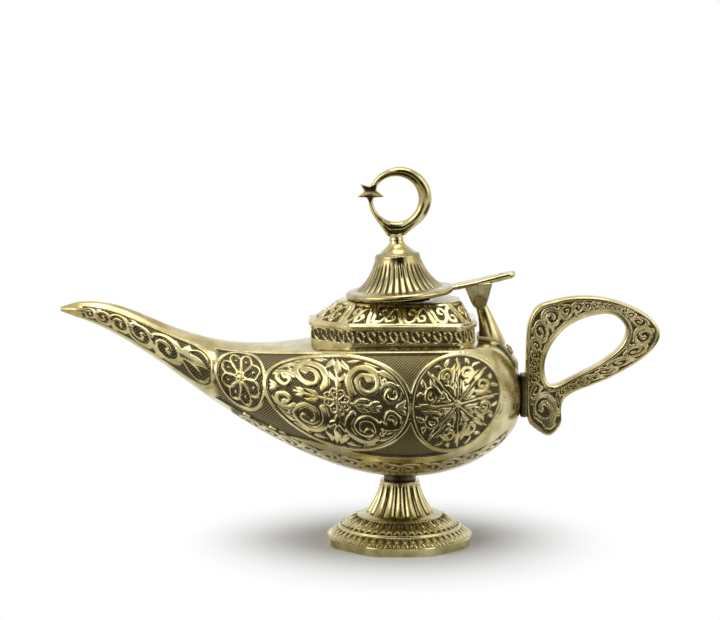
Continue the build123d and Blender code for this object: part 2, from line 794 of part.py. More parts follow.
# Crescent and star on a flared neck. The ornament stands upright on the leaning shank.
boss_point = lid_seat.origin + lid_seat.z_dir * boss_top
finial_section = Plane(boss_point, x_dir=(1, 0, 0), z_dir=(0, -1, 0))
crescent_z = neck_rise + crescent_radius
star_place = (
    crescent_offset + (crescent_radius - star_inset) * cos(radians(star_angle)),
    crescent_z + (crescent_radius - star_inset) * sin(radians(star_angle)),
)
finial_nut_low = crown_floor - washer_thickness - finial_nut_height
crescent_thin = crescent_radius - crescent_hole_radius - hypot(crescent_hole_shift, crescent_hole_drop)
crescent_round = crescent_round_share * crescent_thin
with BuildPart() as finial:
    with BuildSketch(finial_section):
        with BuildLine():
            CenterArc((crescent_offset, crescent_z), crescent_radius, 0, 360)
            Line((-neck_half_width, 0), (neck_half_width, 0))
        make_hull()
        with Locations((crescent_offset - crescent_hole_shift, crescent_z - crescent_hole_drop)):
            Circle(crescent_hole_radius, mode=Mode.SUBTRACT)
    extrude(amount=crescent_thickness / 2, both=True)
    fillet(finial.faces().sort_by(Axis.Y)[0].edges(), crescent_round)
    fillet(finial.faces().sort_by(Axis.Y)[-1].edges(), crescent_round)
    split(bisect_by=lid_seat.offset(boss_top), keep=Keep.TOP)
    with BuildSketch(lid_seat.offset(boss_top)):
        Circle(boss_neck_radius)
    extrude(amount=neck_rise, taper=neck_taper)
    with BuildSketch(finial_section):
        with BuildLine():
            star_corners = []
            for (turn, reach), (next_turn, _) in zip(star_points, star_points[1:] + star_points[:1]):
                half_turn = ((next_turn - turn) % 360) / 2
                for angle, radius in ((turn, reach), (turn + half_turn, star_inner_radius)):
                    out = Vector(radius, 0).rotate(Axis.Z, angle)
                    star_corners.append((star_place[0] + out.X, star_place[1] + out.Y))
            Polyline(*star_corners, close=True)
        make_face()
    extrude(amount=star_thickness / 2, both=True)
    with BuildSketch(lid_seat.offset(finial_nut_low - shank_tail)):
        Circle(shank_radius)
    extrude(amount=boss_top + boss_neck_radius - finial_nut_low + shank_tail)
finial.part.label = "finial"

with BuildPart() as finial_washer:
    with BuildSketch(lid_seat.offset(crown_floor)):
        Circle(finial_washer_radius)
        Circle(shank_radius + shank_clearance, mode=Mode.SUBTRACT)
    extrude(amount=-washer_thickness)
finial_washer.part.label = "finial_washer"

with BuildPart() as finial_nut:
    with BuildSketch(lid_seat.offset(finial_nut_low)):
        RegularPolygon(radius=finial_nut_radius, side_count=6)
        Circle(shank_radius, mode=Mode.SUBTRACT)
    extrude(amount=finial_nut_height)
finial_nut.part.label = "finial_nut"

# Handle outline and finger opening as shares of the reach and the height
handle_outline = [
    (0.004, 0.640),
    (0.018, 0.806),
    (0.083, 0.928),
    (0.194, 0.971),
    (0.327, 0.998),
    (0.535, 0.999),
    (0.729, 0.956),
    (0.871, 0.892),
    (0.968, 0.812),
    (1.000, 0.733),
    (0.971, 0.654),
    (0.876, 0.561),
    (0.736, 0.474),
    (0.558, 0.388),
    (0.380, 0.323),
    (0.285, 0.250),
    (0.271, 0.156),
    (0.271, 0.091),
    (0.227, 0.026),
    (0.168, 0.001),
    (0.093, 0.040),
    (0.033, 0.091),
    (0.009, 0.185),
    (0.000, 0.388),
]
handle_opening = [
    (0.144, 0.474),
    (0.162, 0.590),
    (0.228, 0.705),
    (0.316, 0.790),
    (0.434, 0.848),
    (0.553, 0.876),
    (0.656, 0.869),
    (0.732, 0.805),
    (0.747, 0.740),
    (0.712, 0.654),
    (0.616, 0.568),
    (0.498, 0.496),
    (0.350, 0.424),
    (0.231, 0.370),
    (0.171, 0.381),
]
handle_x = rear_reach + pad_depth
handle_z = pad_z - pad_height_share * handle_height
screw_tip_x = handle_x + screw_depth


def handle_points(shares):
    """Outline points of the handle in the XZ plane."""
    return [(handle_x + u * handle_reach, handle_z + v * handle_height) for u, v in shares]


with BuildPart() as handle:
    with BuildSketch(Plane.XZ):
        with BuildLine():
            Spline(*handle_points(handle_outline), periodic=True)
        make_face()
        with BuildLine():
            Spline(*handle_points(handle_opening), periodic=True)
        make_face(mode=Mode.SUBTRACT)
    extrude(amount=handle_thickness / 2, both=True)
    fillet(handle.faces().sort_by(Axis.Y)[0].edges(), handle_round)
    fillet(handle.faces().sort_by(Axis.Y)[-1].edges(), handle_round)
    with BuildSketch(Plane.YZ.offset(rear_reach)):
        with Locations((0, pad_z)):
            Rectangle(pad_width, pad_height)
    extrude(amount=pad_depth + handle_round)
    with BuildSketch(Plane.YZ.offset(rear_reach)):
        with Locations((0, pad_z)):
            Circle(screw_radius)
    extrude(amount=pad_depth + screw_depth, mode=Mode.SUBTRACT)
handle.part.label = "handle"

# Handle screw and its washer on the inside of the rear wall
with BuildPart() as handle_screw:
    with BuildSketch(Plane.YZ.offset(rear_wall_x - washer_thickness)):
        with Locations((0, pad_z)):
            Circle(screw_radius)
    extrude(amount=screw_tip_x - rear_wall_x + washer_thickness)
    with BuildSketch(Plane.YZ.offset(rear_wall_x - washer_thickness)):
        with Locations((0, pad_z)):
            Circle(screw_head_radius)
    extrude(amount=-screw_head_height, taper=screw_head_taper)
handle_screw.part.label = "handle_screw"

with BuildPart() as handle_washer:
    with BuildSketch(Plane.YZ.offset(rear_wall_x)):
        with Locations((0, pad_z)):
            Circle(screw_washer_radius)
            Circle(screw_radius + screw_clearance, mode=Mode.SUBTRACT)
    extrude(amount=-washer_thickness)
handle_washer.part.label = "handle_washer"

pieces = [
    foot,
    neck_ring,
    foot_bolt,
    foot_bolt_washer,
    foot_washer,
    foot_nut,
    body_front_half,
    body_back_half,
    collar,
    hinge_bracket,
    bracket_rivets,
    hinge_pin,
    lid,
    finial_boss,
    finial,
    finial_washer,
    finial_nut,
    handle,
    handle_screw,
    handle_washer,
]
for piece in pieces:
    export_step(piece.part, f"parts/{piece.part.label}.step")
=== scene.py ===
"""Looks of a cast-brass oil lamp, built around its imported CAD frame.

Sizes are in millimetres until a mesh is laid, and the frame is in metres. The handle points to +X,
the spout to -X, and +Z is up.
"""

import logging
import math
from dataclasses import dataclass, field
from enum import Enum
from functools import partial
from typing import Any, Callable, Iterable, Sequence

import bmesh
import bpy
import numpy as np
from mathutils import Matrix, Vector


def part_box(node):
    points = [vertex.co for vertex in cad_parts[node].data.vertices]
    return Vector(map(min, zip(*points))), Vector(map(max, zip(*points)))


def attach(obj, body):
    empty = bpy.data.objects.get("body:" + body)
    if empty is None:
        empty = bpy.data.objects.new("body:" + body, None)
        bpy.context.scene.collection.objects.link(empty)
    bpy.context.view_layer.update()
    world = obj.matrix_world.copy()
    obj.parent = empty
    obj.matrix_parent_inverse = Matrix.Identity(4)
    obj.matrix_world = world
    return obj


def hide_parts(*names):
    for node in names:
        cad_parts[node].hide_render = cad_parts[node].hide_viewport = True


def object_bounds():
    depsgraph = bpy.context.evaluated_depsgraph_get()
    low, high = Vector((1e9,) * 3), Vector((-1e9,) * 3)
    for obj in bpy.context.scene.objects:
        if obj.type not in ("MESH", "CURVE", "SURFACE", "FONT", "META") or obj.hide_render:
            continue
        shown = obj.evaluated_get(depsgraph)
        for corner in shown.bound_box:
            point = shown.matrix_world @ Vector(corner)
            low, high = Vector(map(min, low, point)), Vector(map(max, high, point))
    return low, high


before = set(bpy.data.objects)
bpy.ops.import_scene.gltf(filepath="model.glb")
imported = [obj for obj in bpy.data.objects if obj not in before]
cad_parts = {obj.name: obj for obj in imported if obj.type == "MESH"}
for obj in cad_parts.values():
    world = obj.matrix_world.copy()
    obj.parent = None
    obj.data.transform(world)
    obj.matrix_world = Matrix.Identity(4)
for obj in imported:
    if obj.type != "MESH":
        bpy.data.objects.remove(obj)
cad_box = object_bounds()

MM = 0.001
log = logging.getLogger("lamp")

Array = np.ndarray
Mesh = bmesh.types.BMesh
Piece = bpy.types.Object
Spot = Sequence[float]
Spots = tuple[tuple[float, float], ...]
# A line of points with a half width at each
Stroke = tuple[Array, Array]


class Side(Enum):
    """Which flank of the lamp a piece lies on."""

    FRONT = -1
    BACK = 1


class Body(Enum):
    """The moving bodies of the frame."""

    LAMP = "lamp"
    LID = "lid"


class Slot(Enum):
    """The record's material slots."""

    CAST = "cast_brass"
    TURNED = "turned_brass"
    RIVET = "rivet_brass"


class Wear(Enum):
    """How a finish finds where it is bright: high places worn by hands, or places clear of inner corners,
    whose dark is grime and painted shade.
    """

    CARVING = "relief"
    HOLLOWS = "hollows"


# Small tools


def linear(code: str) -> tuple[float, float, float, float]:
    """Turn an sRGB hex colour to linear.

    Args:
        code: The colour as "#RRGGBB".

    Returns:
        Red, green, blue and alpha, linear.
    """
    shares = [int(code[i : i + 2], 16) / 255 for i in (1, 3, 5)]
    red, green, blue = (s / 12.92 if s <= 0.04045 else ((s + 0.055) / 1.055) ** 2.4 for s in shares)
    return red, green, blue, 1.0


def add_node(
    tree: bpy.types.NodeTree,
    kind: str,
    inputs: dict[int | str, Any] | None = None,
    **settings: Any,
) -> bpy.types.Node:
    """Add one node with its settings and links.

    Args:
        tree: The tree that takes the node.
        kind: Blender's name of the node type, without ShaderNode.
        inputs: A value, or an output socket to link, for each input socket.
        **settings: Attributes to set on the node.

    Returns:
        The new node.
    """
    made = tree.nodes.new("ShaderNode" + kind)
    for name, value in settings.items():
        setattr(made, name, value)
    for socket, value in (inputs or {}).items():
        if isinstance(value, bpy.types.NodeSocket):
            tree.links.new(value, made.inputs[socket])
        else:
            made.inputs[socket].default_value = value
    return made


def empty_tree(owner: bpy.types.Material | bpy.types.World) -> bpy.types.NodeTree:
    """Turn nodes on and take the default ones out.

    Args:
        owner: The material or world.

    Returns:
        Its empty tree.
    """
    owner.use_nodes = True
    owner.node_tree.nodes.clear()
    return owner.node_tree


def smooth(share: Array) -> Array:
    """Ease a share from 0 to 1."""
    held = np.clip(share, 0.0, 1.0)
    return held * held * (3.0 - 2.0 * held)


def slope(depth: Array, edge: float) -> Array:
    """Ease from 0 to 1 over an edge's half width on both sides of depth 0."""
    return smooth((depth + edge) / (2 * edge))


def spline_weights(knots: Array, places: Array) -> Array:
    """Weights of a natural cubic spline.

    Args:
        knots: Where the values are known, rising.
        places: Where the values are wanted.

    Returns:
        A matrix that turns the values at the knots into the values at the places.
    """
    count = len(knots)
    gap = np.diff(knots)
    left_side = np.eye(count)
    right_side = np.zeros((count, count))
    for i in range(1, count - 1):
        left_side[i, i - 1 : i + 2] = gap[i - 1], 2 * (gap[i - 1] + gap[i]), gap[i]
        right_side[i, i - 1 : i + 2] = 6 / gap[i - 1], -6 / gap[i - 1] - 6 / gap[i], 6 / gap[i]
    bend = np.linalg.solve(left_side, right_side)
    low = np.clip(np.searchsorted(knots, places, side="right") - 1, 0, count - 2)
    before = (knots[low + 1] - places) / gap[low]
    after = 1 - before
    rows = np.arange(len(places))
    weights = np.zeros((len(places), count))
    weights[rows, low] += before
    weights[rows, low + 1] += after
    square = gap[low] ** 2 / 6
    weights += ((before**3 - before) * square)[:, None] * bend[low]
    weights += ((after**3 - after) * square)[:, None] * bend[low + 1]
    return weights


def loop_spline(points: Sequence[tuple[float, float]], places: Array) -> Array:
    """Points of a closed smooth line.

    Args:
        points: The points that it passes through, in order.
        places: Places along it, counted in those points.

    Returns:
        One point for each place.
    """
    count = len(points)
    lap = np.array(points)
    around = np.vstack([lap, lap, lap])
    knots = np.arange(3 * count) - count
    return spline_weights(knots.astype(float), np.mod(places, count)) @ around


def lengths_along(points: Array) -> Array:
    """Running length along a line of points, starting at 0."""
    steps = np.linalg.norm(np.diff(points, axis=0), axis=1)
    return np.concatenate([[0.0], np.cumsum(steps)])


def arc_through(ends: Sequence[Spot], count: int) -> Array:
    """Points of the arc through three points, from the first to the last.

    Args:
        ends: The three points.
        count: How many points are wanted.

    Returns:
        Points by 2.
    """
    spots = np.array(ends, float)
    sides = 2 * (spots[1:] - spots[0])
    squares = (spots**2).sum(axis=1)
    center = np.linalg.solve(sides, squares[1:] - squares[0])
    angles = np.unwrap([math.atan2(*(spot - center)[::-1]) for spot in spots])
    angle = np.linspace(angles[0], angles[2], count)
    reach = np.hypot(*(spots[0] - center))
    return center + reach * np.stack([np.cos(angle), np.sin(angle)], axis=1)


def soften_loop(values: Array, reach: int, lap: float = 0.0) -> Array:
    """Average a closed run over reach neighbours on each side; its values grow by lap each turn."""
    around = np.concatenate([values[-reach - 1 : -1] - lap, values, values[1 : reach + 1] + lap])
    return np.convolve(around, np.ones(2 * reach + 1) / (2 * reach + 1), "valid")


def hull_reach(away: Array, center: Spot, radius: float, spots: Iterable[Spot]) -> Array:
    """How far off a line lies that is drawn taut round a circle and some points.

    Args:
        away: Unit directions all round, the first repeated at the end.
        center: Centre of the circle.
        radius: Radius of the circle.
        spots: The points.

    Returns:
        The distance from the origin in each direction.
    """
    ways = away[:-1]
    pulls = [radius + ways @ np.array(center)] + [ways @ np.array(spot) for spot in spots]
    facing = away @ ways.T
    grazing = 0.05
    reach = np.max(pulls, axis=0) / np.maximum(facing, grazing)
    return np.where(facing > grazing, reach, np.inf).min(axis=1)


def upright(flat: Array, y: Array) -> Array:
    """Stand flat points up: their coordinates become X and Z, and y goes between."""
    return np.stack([flat[..., 0], np.broadcast_to(y, flat.shape[:-1]), flat[..., 1]], axis=-1)


def chart_of(p: Array, q: Array) -> Array:
    """Both chart coordinates as vectors, for the points' attribute."""
    return np.stack([p, q, 0 * p], axis=2)


def heading(degrees: float) -> Array:
    """Unit vector at an angle."""
    turn = math.radians(degrees)
    return np.array([math.cos(turn), math.sin(turn)])


def outward_normals(points: Array, inside: Array) -> Array:
    """Unit normals of a grid of points.

    Args:
        points: Rows by columns by 3.
        inside: A point, or one for each grid point, on the inner side.

    Returns:
        Unit normals that point away from the inside.
    """
    across, along = np.gradient(points, axis=0), np.gradient(points, axis=1)
    normals = np.cross(along, across)
    normals /= np.linalg.norm(normals, axis=2, keepdims=True) + 1e-12
    if np.mean(np.sum(normals * (points - inside), axis=2)) < 0:
        normals = -normals
    return normals


def hand_cut(p: Array, q: Array, sway: float = 0.16) -> tuple[Array, Array]:
    """Sway a chart a little, as lines cut by hand do.

    Args:
        p: First chart coordinate, in mm.
        q: Second chart coordinate, in mm.
        sway: How far lines wander, in mm.

    Returns:
        Both coordinates, swayed.
    """
    new_p = p + sway * (np.sin(0.61 * q + 1.3) + 0.6 * np.sin(1.37 * q - 0.83 * p))
    new_q = q + sway * (np.sin(0.53 * p + 0.4) + 0.6 * np.sin(1.21 * p + 0.97 * q))
    return new_p, new_q


# Meshes


def lay_grid(
    name: str,
    points: Array,
    marks: dict[str, Array] | None = None,
    weld: bool = False,
    skirt: float = 0.0,
    trim: Callable[[Mesh], None] | None = None,
    facing: Spot | None = None,
) -> Piece:
    """Lay bmesh's grid on a sheet of points and make an object of it.

    Args:
        name: Name of the piece.
        points: Rows by columns by 3, in mm.
        marks: Values to keep on the points, by attribute name: numbers, or vectors of 3.
        weld: Whether rows or columns that meet are joined.
        skirt: Depth of the wall that is turned in along open edges, in mm.
        trim: A last change to the mesh, in metres, before the skirt.
        facing: Where an open sheet faces on the whole.

    Returns:
        The new object, at the origin.
    """
    rows, columns = points.shape[:2]
    bm = bmesh.new()
    bmesh.ops.create_grid(bm, x_segments=columns - 1, y_segments=rows - 1, size=1.0)
    layers = {}
    for mark, values in (marks or {}).items():
        kinds = bm.verts.layers.float if values.ndim == 2 else bm.verts.layers.float_vector
        layers[mark] = (kinds.new(mark), values)
    placed = points * MM
    for vert in bm.verts:
        column = round((vert.co.x + 1) / 2 * (columns - 1))
        row = round((vert.co.y + 1) / 2 * (rows - 1))
        vert.co = placed[row, column]
        for layer, values in layers.values():
            vert[layer] = values[row, column]
    if weld:
        bmesh.ops.remove_doubles(bm, verts=bm.verts, dist=2e-6)
    if trim:
        trim(bm)
    bmesh.ops.recalc_face_normals(bm, faces=bm.faces)
    if facing and sum(face.normal.dot(facing) * face.calc_area() for face in bm.faces) < 0:
        bmesh.ops.reverse_faces(bm, faces=bm.faces)
    bm.normal_update()
    if skirt:
        turn_in_edges(bm, skirt * MM)
    return make_object(name, bm)


def turn_in_edges(bm: Mesh, depth: float) -> None:
    """Turn a short wall inwards along every open edge.

    Args:
        bm: The mesh, with its normals up to date.
        depth: Height of the wall, in metres.
    """
    rim = [edge for edge in bm.edges if edge.is_boundary]
    inwards = {vert.co.copy().freeze(): -vert.normal.copy() for edge in rim for vert in edge.verts}
    for edge in rim:
        edge.smooth = False
    made = bmesh.ops.extrude_edge_only(bm, edges=rim)["geom"]
    for vert in made:
        if isinstance(vert, bmesh.types.BMVert):
            vert.co += depth * inwards[vert.co.copy().freeze()]
            vert.co.x = min(max(vert.co.x, cad_box[0][0]), cad_box[1][0])


def make_object(name: str, bm: Mesh) -> Piece:
    """Make a smooth-shaded object of a finished mesh.

    Args:
        name: Name of the piece.
        bm: The mesh in metres, which is freed.

    Returns:
        The new object.
    """
    mesh = bpy.data.meshes.new(name)
    for face in bm.faces:
        face.smooth = True
    bm.to_mesh(mesh)
    bm.free()
    made = bpy.data.objects.new(name, mesh)
    bpy.context.scene.collection.objects.link(made)
    return made


def mark_creases(bm: Mesh, angle: float = 0.7) -> None:
    """Mark the edges of sharp turns as sharp.

    Args:
        bm: The mesh.
        angle: The turn from which an edge is sharp, in radians.
    """
    for edge in bm.edges:
        if edge.is_manifold and edge.calc_face_angle(0.0) > angle:
            edge.smooth = False


# Ornament, in chart mm


def line(points: Iterable[Spot], width: float) -> Stroke:
    """A line of even half width."""
    spots = np.array(list(points), float)
    return spots, np.full(len(spots), width)


def dot(center: Spot, radius: float) -> Stroke:
    """A round boss."""
    return np.array([center, center], float), np.full(2, radius)


def leaf(base: Spot, tip: Spot, belly: float, width: float) -> Stroke:
    """A curved leaf.

    Args:
        base: Where it springs from.
        tip: Where it ends.
        belly: How far its middle bends to the left of the way to the tip.
        width: Half width at its fullest.

    Returns:
        The stroke.
    """
    share = np.linspace(0, 1, 12)[:, None]
    start, end = np.array(base, float), np.array(tip, float)
    way = end - start
    middle = (start + end) / 2 + 2 * belly * np.array([-way[1], way[0]]) / (np.hypot(*way) + 1e-9)
    spots = (1 - share) ** 2 * start + 2 * share * (1 - share) * middle + share**2 * end
    swell = np.sin(np.pi * np.clip(share[:, 0], 0.06, 0.97) ** 0.75) ** 0.8
    return spots, width * np.maximum(swell, 0.16)


def spiral(
    center: Spot, radius: float, start: float, turns: float, width: float, core: float = 0.24
) -> Stroke:
    """A stem that winds in to a bud.

    Args:
        center: Centre of the winding.
        radius: Radius where it starts.
        start: Angle where it starts, in degrees.
        turns: How many times it winds, negative for clockwise.
        width: Half width of the stem.
        core: Radius where it ends, as a share of the radius.

    Returns:
        The stroke.
    """
    share = np.linspace(0, 1, max(14, int(30 * abs(turns))))
    angle = math.radians(start) + 2 * np.pi * turns * share
    reach = radius * (1 - (1 - core) * share**0.9)
    spots = np.array(center) + np.stack([reach * np.cos(angle), reach * np.sin(angle)], axis=1)
    bud = 1 + 0.85 * np.exp(-(((share - 1) / 0.07) ** 2))
    return spots, width * (1 - 0.35 * share) * bud


def curve(points: Sequence[Spot], width: float, tail: float = 1.0) -> Stroke:
    """A smooth ribbon through points.

    Args:
        points: The points that it passes through.
        width: Half width at its start.
        tail: Half width at its end, as a share of the first.

    Returns:
        The stroke.
    """
    spots = np.array(points, float)
    knots = lengths_along(spots)
    places = np.linspace(0, knots[-1], 8 * len(spots))
    return spline_weights(knots, places) @ spots, width * np.linspace(1, tail, len(places))


def petal(center: Spot, angle: float, inner: float, outer: float, half: float, width: float) -> Stroke:
    """The outline of one open petal.

    Args:
        center: Centre of the flower.
        angle: Where the petal points, in degrees.
        inner: Distance from the centre to its foot.
        outer: Distance from the centre to its tip.
        half: Half breadth at its fullest.
        width: Half width of the line.

    Returns:
        The stroke.
    """
    share = np.linspace(0, 2, 33)
    out = 1 - np.abs(share - 1)
    side = np.where(share < 1, 1, -1) * half * np.sin(np.pi * out**1.3) ** 0.65
    reach = inner + (outer - inner) * out
    spots = np.array(center) + reach[:, None] * heading(angle) + side[:, None] * heading(angle + 90)
    return spots, np.full(len(spots), width)


def flower(center: Spot, count: int, radius: float, width: float, turn: float = 0.0) -> list[Stroke]:
    """A flower of open petals round a bud, with a seed in each petal.

    Args:
        center: Centre of the flower.
        count: How many petals.
        radius: Distance from the centre to the petals' tips.
        width: Half width of the lines.
        turn: Angle of the first petal, in degrees.

    Returns:
        The strokes.
    """
    made = [dot(center, 0.12 * radius)]
    half = 0.66 * math.pi * radius / count
    for k in range(count):
        angle = turn + 360 * k / count
        made.append(petal(center, angle, 0.16 * radius, radius, half, width))
        made.append(dot(np.array(center) + 0.66 * radius * heading(angle), 1.05 * width))
    return made


def moved(
    strokes: Iterable[Stroke], scale: Spot = (1.0, 1.0), turn: float = 0.0, shift: Spot = (0.0, 0.0)
) -> list[Stroke]:
    """Copies of strokes, scaled, then turned, then shifted.

    Args:
        strokes: The strokes.
        scale: Along both axes; a negative one mirrors.
        turn: Degrees, counter-clockwise.
        shift: Last move.

    Returns:
        The copies.
    """
    spin = np.array([heading(turn), heading(turn + 90)])
    size = math.sqrt(abs(scale[0] * scale[1]))
    return [(spots * np.array(scale) @ spin + np.array(shift), half * size) for spots, half in strokes]


def running_scroll(start: float, end: float, radius: float, width: float) -> list[Stroke]:
    """A vine that runs along the chart's first axis with a scroll in every bend.

    Args:
        start: Where it starts.
        end: Where it ends.
        radius: Radius wanted for a bend, which is fitted to the length.
        width: Half width of the stem.

    Returns:
        The strokes, within 1.25 radii of the axis.
    """
    count = max(1, round((end - start) / (2 * radius)))
    reach = (end - start) / (2 * count)
    made = []
    half_turn = np.linspace(np.pi, 0, 15)
    for i in range(count):
        up = 1 if i % 2 == 0 else -1
        x = start + (2 * i + 1) * reach
        arc = np.stack([x + reach * np.cos(half_turn), up * radius * np.sin(half_turn)], axis=1)
        made.append((arc, np.full(len(arc), width)))
        curl = spiral((0, 0), radius, 0.0, -1.05 * up, 0.92 * width)
        made += moved([curl], (reach / radius, 1), 0, (x, 0))
        # Base and tip of each leaf from the bend's middle, its belly and its width, all as shares
        for *ends, belly, full in (
            ((1.0, 0.15), (1.5, 1.15), -0.12, 1.3),
            ((1.0, 0.15), (0.72, 1.1), 0.08, 0.9),
            ((-0.2, -0.62), (-0.85, -1.1), 0.12, 1.2),
        ):
            base, tip = ((x + along * reach, up * across * radius) for along, across in ends)
            made.append(leaf(base, tip, up * belly * radius, full * width))
    return made


class Relief:
    """A height field over a chart: strokes stand up and the ground between them is sunk."""

    # How far round a stroke it is worked out, in chart units, and what lies beyond, in mm
    reach = 1.2
    beyond = -9.0

    def __init__(self, p: Array, q: Array, scale: Array | float = 1.0) -> None:
        """Keep the chart.

        Args:
            p: First chart coordinate of every point.
            q: Second chart coordinate of every point.
            scale: Millimetres on the surface for a chart unit.
        """
        self.p, self.q = p, q
        self.scale = np.broadcast_to(np.asarray(scale, float), p.shape)
        self.lift = np.full(p.shape, self.beyond)

    def draw(self, strokes: Iterable[Stroke]) -> None:
        """Raise strokes, which keep the higher of what they cross.

        Args:
            strokes: The strokes.
        """
        for spots, half in strokes:
            room = half.max() + self.reach
            low, high = spots.min(0) - room, spots.max(0) + room
            near = (self.p > low[0]) & (self.p < high[0]) & (self.q > low[1]) & (self.q < high[1])
            if not near.any():
                continue
            p, q = self.p[near], self.q[near]
            best = self.lift[near]
            scale = self.scale[near]
            for (start, end), (first, last) in zip(zip(spots, spots[1:]), zip(half, half[1:])):
                way = end - start
                square = float(way @ way)
                share = 0.0 * p
                if square > 1e-12:
                    share = np.clip(((p - start[0]) * way[0] + (q - start[1]) * way[1]) / square, 0, 1)
                away = np.hypot(p - start[0] - share * way[0], q - start[1] - share * way[1])
                best = np.maximum(best, (first + share * (last - first) - away) * scale)
            self.lift[near] = best

    def ground(self) -> Array:
        """How clear of the strokes each point lies, 0 beside them and 1 out on the ground."""
        return smooth((-self.lift - 0.1) / 0.6)

    def raised(self, edge: float = 0.2) -> Array:
        """How far each point stands up, 0 on the ground and 1 on a stroke, with sides twice edge wide."""
        return slope(self.lift, edge)


@dataclass
class Carving:
    """What ornament does to a sheet of points, in shares of 0 to 1, with the points' chart in mm."""

    raised: Array
    hatch: Array
    chart: Array
    dome: Array

    @classmethod
    def plain(cls, p: Array, q: Array) -> "Carving":
        """An uncarved sheet with its chart, in mm."""
        return cls(np.ones(p.shape), np.zeros(p.shape), chart_of(p, q), np.zeros(p.shape))

    def cut(self, rows: Array | slice, relief: Relief, depth: Array, edge: float) -> None:
        """Carve a field of ornament into some rows.

        Args:
            rows: The rows.
            relief: Their ornament.
            depth: How far inside the field each of their points lies, in mm.
            edge: Half the width of the slopes, in mm.
        """
        inside = slope(depth, edge)
        self.raised[rows] = 1 - inside * (1 - relief.raised(edge))
        self.hatch[rows] = inside * relief.ground()
        self.chart[rows] = chart_of(relief.p * relief.scale, relief.q * relief.scale)

    def marks(self) -> dict[str, Array]:
        """What the materials read."""
        return {"relief": self.raised, "hatch": self.hatch, "chart": self.chart}

    def sunk(self, depth: Array | float) -> Array:
        """How far each point lies below the plain surface, with strokes rounded off to their sides."""
        return depth * (1 - self.raised) + 0.12 * self.dome


def rim_band(
    depth: Array, inner: Array | float, groove: Array | float, edge: float = 0.2
) -> tuple[Array, Array]:
    """Where a panel's flat rim stands, and the field inside its groove, by depth within the outline."""
    return slope(depth, edge) * slope(inner - depth, edge), slope(depth - inner - groove, edge)


# Finishes


